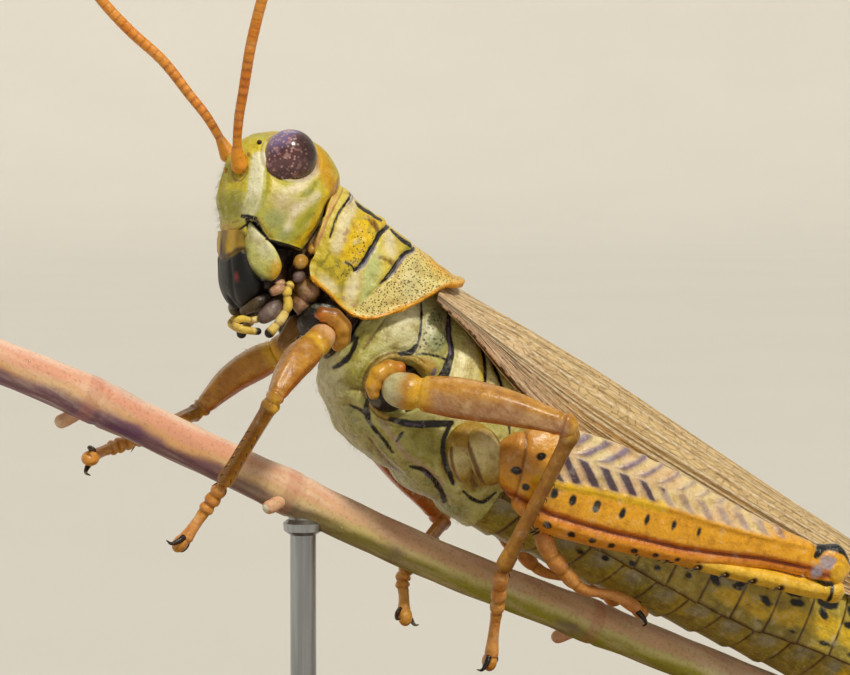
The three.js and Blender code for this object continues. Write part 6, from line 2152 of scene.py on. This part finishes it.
@dataclass(frozen=True)
class StemFinish:
    """The bark of a green stem: pink above with a painted highlight along the top, darker yellow-green below,
    partly painted shade, with purple stains and pale pores.
    """

    name: str = "stem_bark"

    def make(self) -> bpy.types.Material:
        """Builds the material."""
        graph = Graph(self.name)
        streaks = graph.noise(1.3, 4.0, graph.spot((0.22, 2.0, 1.2), Place.BODY))
        shift = graph.field("upper") + (graph.noise(0.35, 3.0) - 0.5) * 0.8
        along = graph.field("along")
        right = (along + (graph.noise(0.15, 2.0) - 0.5) * 0.3).step(0.25, 0.6)
        body = graph.mix(right, 0xE8B27C, 0xDDD48C)
        below = graph.mix(right, 0x8A6470, 0xAEAC3C)
        # darker colours below: the stem's own yellow-green, darkened as painted shade on the underside
        colour = graph.mix(shift.step(0.95, 1.35), body, below)
        # a painted highlight along the top of the stem
        colour = graph.mix(shift.step(0.35, -0.05) * 0.9, colour, 0xFCDCC4)
        red = (shift - 0.42).wave(4.0).step(0.16, 0.05) * shift.step(1.0, 0.7)
        colour = graph.mix(red * 0.45, colour, 0xEE9E98)
        colour = graph.mix(streaks.step(0.45, 0.7) * 0.4, colour, 0xF6E4C4)
        stain = graph.noise(0.3, 4.0, graph.spot((0.5, 1.0, 1.0), Place.BODY)).step(0.56, 0.68)
        colour = graph.mix(stain * (shift.step(0.7, 1.2) * 0.55 + 0.15), colour, 0x6A3E70)
        colour = graph.mix(graph.field("node").step(0.15, -0.05) * 0.35, colour, 0xC87E6C)
        pores = graph.cells(1.5).step(0.11, 0.06) * graph.noise(0.8, 1.0).step(0.45, 0.58)
        colour = graph.mix(pores * 0.7, colour, 0xF5E9CC)
        pith = graph.field("pith")
        wood = graph.mix(pith.wave(0.22).step(0.2, 0.4) * 0.4, 0xE9DCB0, 0xB79A62)
        wood = graph.mix(pith.step(0.34, 0.28), wood, 0xF5EFD8)
        colour = graph.mix(graph.field("cut").step(0.02, -0.02), colour, wood)
        fine = graph.noise(6.0, 3.0)
        colour = graph.mix(fine.step(0.5, 0.7) * 0.3, colour, 0xB8A080, "MULTIPLY")
        return graph.surface(Base_Color=colour, Roughness=fine * 0.2 + 0.42, Coat_Weight=0.06, Coat_Roughness=0.3,
                             Normal=graph.relief(streaks * 0.7 + pores + fine * 0.3, 0.06), IOR=1.45)


@dataclass(frozen=True)
class WoodFinish:
    """Oiled walnut with long grain, darker streaks and fine pores."""

    name: str = "stand_walnut"

    def make(self) -> bpy.types.Material:
        """Builds the material."""
        graph = Graph(self.name)
        warp = graph.noise(0.05, 2.0, graph.spot((0.35, 1.0, 1.0)))
        rings = graph.node("ShaderNodeTexWave", {"wave_type": "BANDS", "bands_direction": "Y"},
                           {"Vector": graph.spot((0.06, 1.0, 0.8)), "Scale": 0.11, "Distortion": 7.0, "Detail": 3.0,
                            "Detail Scale": 0.8}, "Fac")
        colour = graph.mix(rings.step(0.2, 0.85), 0x755036, 0x5A3B27)
        colour = graph.mix(warp.step(0.4, 0.62) * 0.5, colour, 0x8E6440)
        pores = graph.noise(1.6, 2.0, graph.spot((0.12, 1.6, 1.6))).step(0.62, 0.7)
        colour = graph.mix(pores * 0.7, colour, 0x2A1A10)
        return graph.surface(Base_Color=colour, Roughness=warp * 0.1 + pores * 0.2 + 0.3, Coat_Weight=0.2,
                             Normal=graph.relief(pores * -1.0 + rings * 0.2, 0.05), Coat_Roughness=0.2, IOR=1.5)


@dataclass(frozen=True)
class SteelFinish:
    """Brushed steel, with fine scratches that run up the rod."""

    name: str = "stand_steel"

    def make(self) -> bpy.types.Material:
        """Builds the material."""
        graph = Graph(self.name)
        lines = graph.noise(6.0, 2.0, graph.spot((1.0, 1.0, 0.03)))
        return graph.surface(Base_Color=graph.mix(lines.step(0.35, 0.65), 0xB4B7BB, 0xA6A9AE), Metallic=1.0,
                             Roughness=lines * 0.15 + 0.24, Normal=graph.relief(lines, 0.002), IOR=2.5)


STEM_LINE = ((-24.5, 0, 30.0), (-19, 0, 27.7), (-12.2, 0, 24.35), (-6.5, 0, 21.5), (-0.5, 0, 18.65), (7, 0, 15.5),
             (13.5, 0, 12.75), (20.5, 0, 9.7))


@dataclass
class Perch:
    """The cut stem below the insect, with the scars of its leaves."""

    radius: float = 1.04
    nodes: tuple[float, ...] = (0.14, 0.36, 0.71)
    cap: float = 0.006

    def surface(self, u: Array, v: Array) -> Array:
        """Places the points: u runs round from the top and v along."""
        path = Path(STEM_LINE)
        share = np.clip((v - self.cap) / (1 - 2 * self.cap), 0, 1)
        radius = self.radius + sum(0.1 * bump(share - node, 0.03) for node in self.nodes)
        reach = radius * np.clip(np.minimum(v, 1 - v) / self.cap, 0, 1)
        rise = np.cross(np.array([0, 1, 0]), path.heading(share))
        angle = (2 * u - 1) * np.pi
        return path.at(share) + rise * (np.cos(angle) * reach)[:, None] + np.outer(np.sin(angle) * reach, (0, 1, 0))

    def relief(self, s: Spot) -> Array:
        """Low ribs along the bark and creases round the nodes."""
        share = np.clip((s.v - self.cap) / (1 - 2 * self.cap), 0, 1)
        ribs = 0.02 * np.cos(s.u * 2 * np.pi * 5 + 2 * np.sin(share * 9)) + 0.014 * np.sin(share * 90 + 3 * np.sin(s.u * 19))
        creases = sum(bump(share - node - 0.012, 0.003) for node in self.nodes)
        return (ribs - 0.06 * creases) * step(np.minimum(s.v, 1 - s.v), self.cap * 1.2, self.cap * 2.2)

    def build(self) -> None:
        """The stem and the stubs of its leaf stalks."""
        path = Path(STEM_LINE)
        fields = {
            "upper": lambda s: 0.85 + np.cos((2 * s.u - 1) * np.pi),
            "along": lambda s: s.v,
            "cut": lambda s: np.minimum(s.v, 1 - s.v) - self.cap * 0.97,
            "pith": lambda s: np.minimum(s.v, 1 - s.v) / self.cap * self.radius,
            "node": lambda s: np.abs(s.v[:, None] - np.array(self.nodes)).min(1) * path.length - 0.3,
        }
        skins = [Skin(self.surface, Place.STAND, 80, 420, self.relief, fields)]
        for node, lean in zip(self.nodes, (0.3, -0.9, 0.6)):
            spot, along = path.at(np.array([node]))[0], path.heading(np.array([node]))[0]
            rise = np.cross(np.array([0, 1, 0]), along)
            out = unit(rise * math.cos(lean) + np.array([0, math.sin(lean), 0]) - along * 0.45)
            stub = Limb((tuple(spot + out * 0.7), tuple(spot + out * 1.5), tuple(spot + out * 2.1 - along * 0.2)),
                        ((0, 0.5), (0.4, 0.36), (0.85, 0.34), (1, 0.3)))
            skins.append(stub.skin(28, 30, None, {
                "upper": lambda s: 0.5 + 0 * s.u, "along": lambda s: 0.4 + 0 * s.u, "cut": lambda s: 0.93 - s.v,
                "pith": lambda s: 1 - s.v,
                "node": lambda s: s.v - 0.2}, Place.STAND))
        dress(build("stem", *skins), StemFinish(), "stem", "perch_stem")


def turned_piece(name: str, outline: Line, x: float, steps: int) -> bpy.types.Object:
    """A piece turned on the lathe.

    Args:
        name: Its name.
        outline: Its outline, as radius and height in metres.
        x: Where its upright axis stands, in metres.
        steps: How many faces it has around.

    Returns:
        The object.
    """
    bm = bmesh.new()
    spots = [bm.verts.new((x + r, 0, z)) for r, z in outline]
    edges = [bm.edges.new(pair) for pair in zip(spots[:-1], spots[1:])]
    bmesh.ops.spin(bm, geom=spots + edges, cent=(x, 0, 0), axis=(0, 0, 1), angle=math.tau, steps=steps,
                   use_merge=True)
    bmesh.ops.remove_doubles(bm, verts=bm.verts, dist=WELD * MM)
    bmesh.ops.recalc_face_normals(bm, faces=bm.faces)
    return add_object(name, bm)


@dataclass
class Stand:
    """The walnut base and the two steel rods that hold the stem."""

    size: tuple[float, float, float] = (60.0, 36.0, 5.0)
    corner: float = 6.0
    bevel: float = 0.6
    rod: float = 0.65
    rods: tuple[tuple[str, float], ...] = (("front", -7.6), ("rear", 14.0))

    def build_base(self) -> None:
        """The base, with round corners and softened edges."""
        bm = bmesh.new()
        bmesh.ops.create_cube(bm, size=1)
        bmesh.ops.scale(bm, vec=Vector(self.size) * MM, verts=bm.verts)
        bmesh.ops.translate(bm, vec=(0, 0, self.size[2] / 2 * MM), verts=bm.verts)
        for upright, offset, segments in ((True, self.corner, 12), (False, self.bevel, 4)):
            edges = [edge for edge in bm.edges if (abs(edge.verts[0].co.z - edge.verts[1].co.z) > 1e-6) == upright]
            bmesh.ops.bevel(bm, geom=edges, offset=offset * MM, segments=segments, profile=0.5, affect="EDGES",
                            material=-1)
        base = add_object("base", bm)
        base.data.set_sharp_from_angle(angle=math.radians(35))
        dress(base, WoodFinish(), "stand_wood", "stand_base")

    def build_rods(self) -> None:
        """The rods, each with a collar on the base and a small cup under the stem."""
        line = Path(STEM_LINE).line
        for name, x in self.rods:
            top, base = float(line[np.abs(line[:, 0] - x).argmin(), 2]), self.size[2]
            outline = [(0, base - 3), (self.rod, base - 3), (self.rod, base - 0.05), (1.45, base - 0.05),
                       (1.45, base + 0.45), (1.3, base + 0.6), (0.95, base + 0.65), (self.rod, base + 0.9),
                       (self.rod, top - 1.75), (0.95, top - 1.55), (1.0, top - 1.15), (0.75, top - 0.95),
                       (self.rod, top - 0.5), (0, top - 0.5)]
            rod = turned_piece(f"rod_{name}", [(r * MM, z * MM) for r, z in outline], x * MM, 40)
            rod.data.set_sharp_from_angle(angle=math.radians(35))
            dress(rod, SteelFinish(), "stand_steel", f"stand_rod_{name}")

    def build(self) -> None:
        """The whole stand."""
        self.build_base()
        self.build_rods()


# ---------- Hairs ----------

@dataclass(frozen=True)
class HairFinish:
    """Fine pale bristles, a little darker here and there."""

    name: str = "pale_hair"

    def make(self) -> bpy.types.Material:
        """Builds the material."""
        graph = Graph(self.name)
        colour = graph.mix(graph.noise(0.8, 2.0).step(0.4, 0.65), 0xEFE4C8, 0xB89A6A)
        return graph.surface(Base_Color=colour, Roughness=graph.noise(3.0) * 0.1 + 0.4, IOR=1.5)


@dataclass
class Coat:
    """Fine hairs rooted on a skin: thin bent cones that lean the way they are combed."""

    name: str
    count: int
    length: float
    comb: tuple[float, float, float]
    lean: float = 0.8
    girth: float = 0.016
    seed: int = 7
    patch: float = 0.003

    def roots(self, skin: Skin, where: Field) -> tuple[Array, Array, Array, Array, Array]:
        """Scatters the roots evenly over the skin.

        Args:
            skin: The skin that they grow on.
            where: How thick they stand, from 0 to 1.

        Returns:
            Their places on the skin, their points, the normals there and four random numbers for each.
        """
        dice = np.random.default_rng(self.seed)
        u, v = dice.random((2, self.count * 60))
        low, high = np.clip(v - EDGE_STEP, 0, 1), np.clip(v + EDGE_STEP, 0, 1)
        area = np.linalg.norm(np.cross(skin.surface(u + EDGE_STEP, v) - skin.surface(u - EDGE_STEP, v),
                                       skin.surface(u, high) - skin.surface(u, low)), axis=1)
        share = area / np.quantile(area, 0.98) * where(Spot(skin.surface(u, v), u, v))
        kept = np.flatnonzero(dice.random(len(u)) < share)[:self.count]
        _, normal, raised = skin.points(u[kept], v[kept])
        return u[kept], v[kept], raised, normal, dice.random((len(kept), 4))

    def build(self, skin: Skin, where: Field, slot: str) -> None:
        """Grows the hairs.

        Args:
            skin: The skin that they grow on.
            where: How thick they stand, from 0 to 1.
            slot: The material slot of the skin.
        """
        u, v, root, normal, luck = self.roots(skin, where)
        comb = unit(np.array(self.comb, float)) + (luck[:, :3] - 0.5) * 0.7
        flat = comb - normal * (comb * normal).sum(1)[:, None]
        way = unit(normal + flat * self.lean)
        end = unit(way + flat * 0.8)
        length = (self.length * (0.55 + 0.75 * luck[:, 3]))[:, None]
        side = unit(np.cross(way, normal + 0.01))
        other = np.cross(way, side)
        rows = []
        for place, girth in ((root - normal * 0.02, 1.0), (root + way * length * 0.5, 0.7)):
            for turn in (0, math.tau / 3, 2 * math.tau / 3):
                rows.append(place + (side * math.cos(turn) + other * math.sin(turn)) * self.girth * girth)
        rows.append(root + (way * 0.5 + end * 0.5) * length)
        spots = skin.place.to_model(np.stack(rows, 1).reshape(-1, 3)) * MM
        template = np.array([(0, 2, 1), (0, 1, 4), (0, 4, 3), (1, 2, 5), (1, 5, 4), (2, 0, 3), (2, 3, 5),
                             (3, 4, 6), (4, 5, 6), (5, 3, 6)])
        faces = (template[None] + 7 * np.arange(len(u))[:, None, None]).reshape(-1, 3)
        mesh = bpy.data.meshes.new(self.name)
        mesh.from_pydata(spots, [], faces)
        tuft = np.array([(0, 0), (1, 0), (0.5, 1), (0.2, 0.2), (0.8, 0.2), (0.5, 0.7), (0.5, 0.5)]) * self.patch
        place = np.stack([u, v], -1)[:, None] * (1 - 2 * self.patch) + tuft[None]
        mesh.uv_layers.new(name="OFBake").data.foreach_set(
            "uv", place.reshape(-1, 2)[faces.ravel()].astype(np.float32).ravel())
        mesh.polygons.foreach_set("use_smooth", [True] * len(mesh.polygons))
        piece = bpy.data.objects.new(self.name, mesh)
        bpy.context.scene.collection.objects.link(piece)
        dress(piece, HairFinish(), slot)


# ---------- Stage ----------

@dataclass
class Studio:
    """The floor that curves up into a backdrop, the soft lights and the camera."""

    target: tuple[float, float, float] = (-1.3, 0, 30.0)
    view: tuple[float, float] = (-16.0, 4.0)
    distance: float = 159.375
    lens: float = 135.0
    floor_colour: int = 0xD6D4CF
    sky_colour: int = 0xE8E7E4
    sky_strength: float = 0.45
    flat: float = 0.9
    bend: float = 0.5
    top: float = 1.6
    lights: tuple[tuple, ...] = (
        ("key", (15.0, 52.0), 2.25, 9.0, (1.0, 0.93, 0.79)),
        ("front", (13.0, 14.0), 0.7, 14.0, (1.0, 0.97, 0.92)),
        ("fill", (-70.0, 20.0), 0.2, 40.0, (0.96, 0.98, 1.0)),
        ("back", (165.0, 50.0), 0.5, 30.0, (1.0, 0.98, 0.94)))

    def aim(self, name: str, source: bpy.types.ID, view: tuple[float, float], distance: float) -> bpy.types.Object:
        """Places a camera or a light so that it looks at the insect.

        Args:
            name: Its name.
            source: The camera's or the light's data.
            view: Where it stands round the model, 0 in front, and how high, both in degrees.
            distance: How far away it is, in mm.

        Returns:
            The object.
        """
        thing = bpy.data.objects.new(name, source)
        bpy.context.scene.collection.objects.link(thing)
        turn, rise = math.radians(view[0]), math.radians(view[1])
        back = Vector((math.sin(turn) * math.cos(rise), -math.cos(turn) * math.cos(rise), math.sin(rise)))
        thing.location = (Vector(self.target) + back * distance) * MM
        thing.rotation_mode = "QUATERNION"
        thing.rotation_quaternion = (-back).to_track_quat("-Z", "Y")
        return thing

    def build_camera(self) -> None:
        """The camera, level and a little above the insect."""
        lens = bpy.data.cameras.new("camera")
        lens.lens = self.lens
        lens.sensor_width = 36.0
        lens.clip_start = 0.005
        lens.clip_end = 20.0
        bpy.context.scene.camera = self.aim("camera", lens, self.view, self.distance)

    def build_lights(self) -> None:
        """Wide soft lights, even over the whole stage: name, place, strength, spread and colour."""
        for name, view, strength, spread, colour in self.lights:
            lamp = bpy.data.lights.new(name, "SUN")
            lamp.energy = strength
            lamp.angle = math.radians(spread)
            lamp.color = colour
            self.aim(name, lamp, view, 500.0)

    def build_floor(self) -> None:
        """A wide pale floor whose rim curves up, so that no horizon shows."""
        outline = [(0.0, 0.0), (self.flat * 0.4, 0.0)]
        for i in range(13):
            angle = math.pi / 2 * i / 12
            outline.append((self.flat + self.bend * math.sin(angle), self.bend * (1 - math.cos(angle))))
        outline.append((self.flat + self.bend, self.top))
        floor = turned_piece("floor", outline, 0.0, 96)
        graph = Graph("floor_paint")
        colour = graph.mix(graph.noise(0.02, 2.0).step(0.3, 0.7) * 0.3, self.floor_colour, 0xD0CEC9)
        floor.data.materials.append(graph.surface(Base_Color=colour, Roughness=0.9))

    def build_world(self) -> None:
        """An even pale sky."""
        world = bpy.data.worlds.new("sky")
        world.use_nodes = True
        background = world.node_tree.nodes["Background"]
        background.inputs["Color"].default_value = (*tint(self.sky_colour), 1.0)
        background.inputs["Strength"].default_value = self.sky_strength
        bpy.context.scene.world = world
        bpy.context.scene.view_settings.view_transform = "Standard"

    def build(self) -> None:
        """Sets the stage."""
        self.build_world()
        self.build_floor()
        self.build_camera()
        self.build_lights()




def grow_hairs() -> None:
    """The short pale bristles of the face, the underside and the legs."""
    forward = (-0.2, 0.0, -1.0)
    Coat("face_hairs", 380, 0.32, forward, 0.35, 0.007, 11).build(
        Head().capsule(), lambda s: step(-s.x, 3.3, 4.4) * (1 - step(s.z, 2.2, 3.2)), "head_cuticle")
    Coat("belly_hairs", 420, 0.3, (0.6, 0.0, -0.8), 0.6, 0.007, 12).build(
        Thorax().skin(), lambda s: step(-s.z, 7.2, 9.0), "thorax")
    Coat("shield_hairs", 420, 0.16, (0.8, 0.0, -0.6), 0.9, 0.006, 13).build(
        Shield().skin(), lambda s: 1.0 + 0 * s.u, "pronotum")
    for name, side in (("left", 1), ("right", -1)):
        Coat(f"thigh_hairs_{name}", 700, 0.2, (1.0, 0.0, -0.3), 1.0, 0.006, 14).build(
            HindLeg().thigh(side), lambda s: 1.0 + 0 * s.u, "hind_femur")
    for leg in WALKING_LEGS:
        Coat(f"{leg.name}_hairs", 180, 0.22, tuple(np.array(leg.knee) - np.array(leg.hip)), 0.8, 0.006, 15).build(
            leg.thigh(), lambda s: 1.0 + 0 * s.u, "leg")


def main() -> None:
    """Builds the model piece by piece."""
    logging.basicConfig(level=logging.INFO, format="%(message)s")
    Studio().build()
    for part in (Head(), Feelers(), Mouth(), Neck(), Shield(), Thorax(), Abdomen(), Wings(), *WALKING_LEGS,
                 HindLeg(),
                 Perch(), Stand()):
        part.build()
    grow_hairs()


if __name__ == "__main__":
    main()
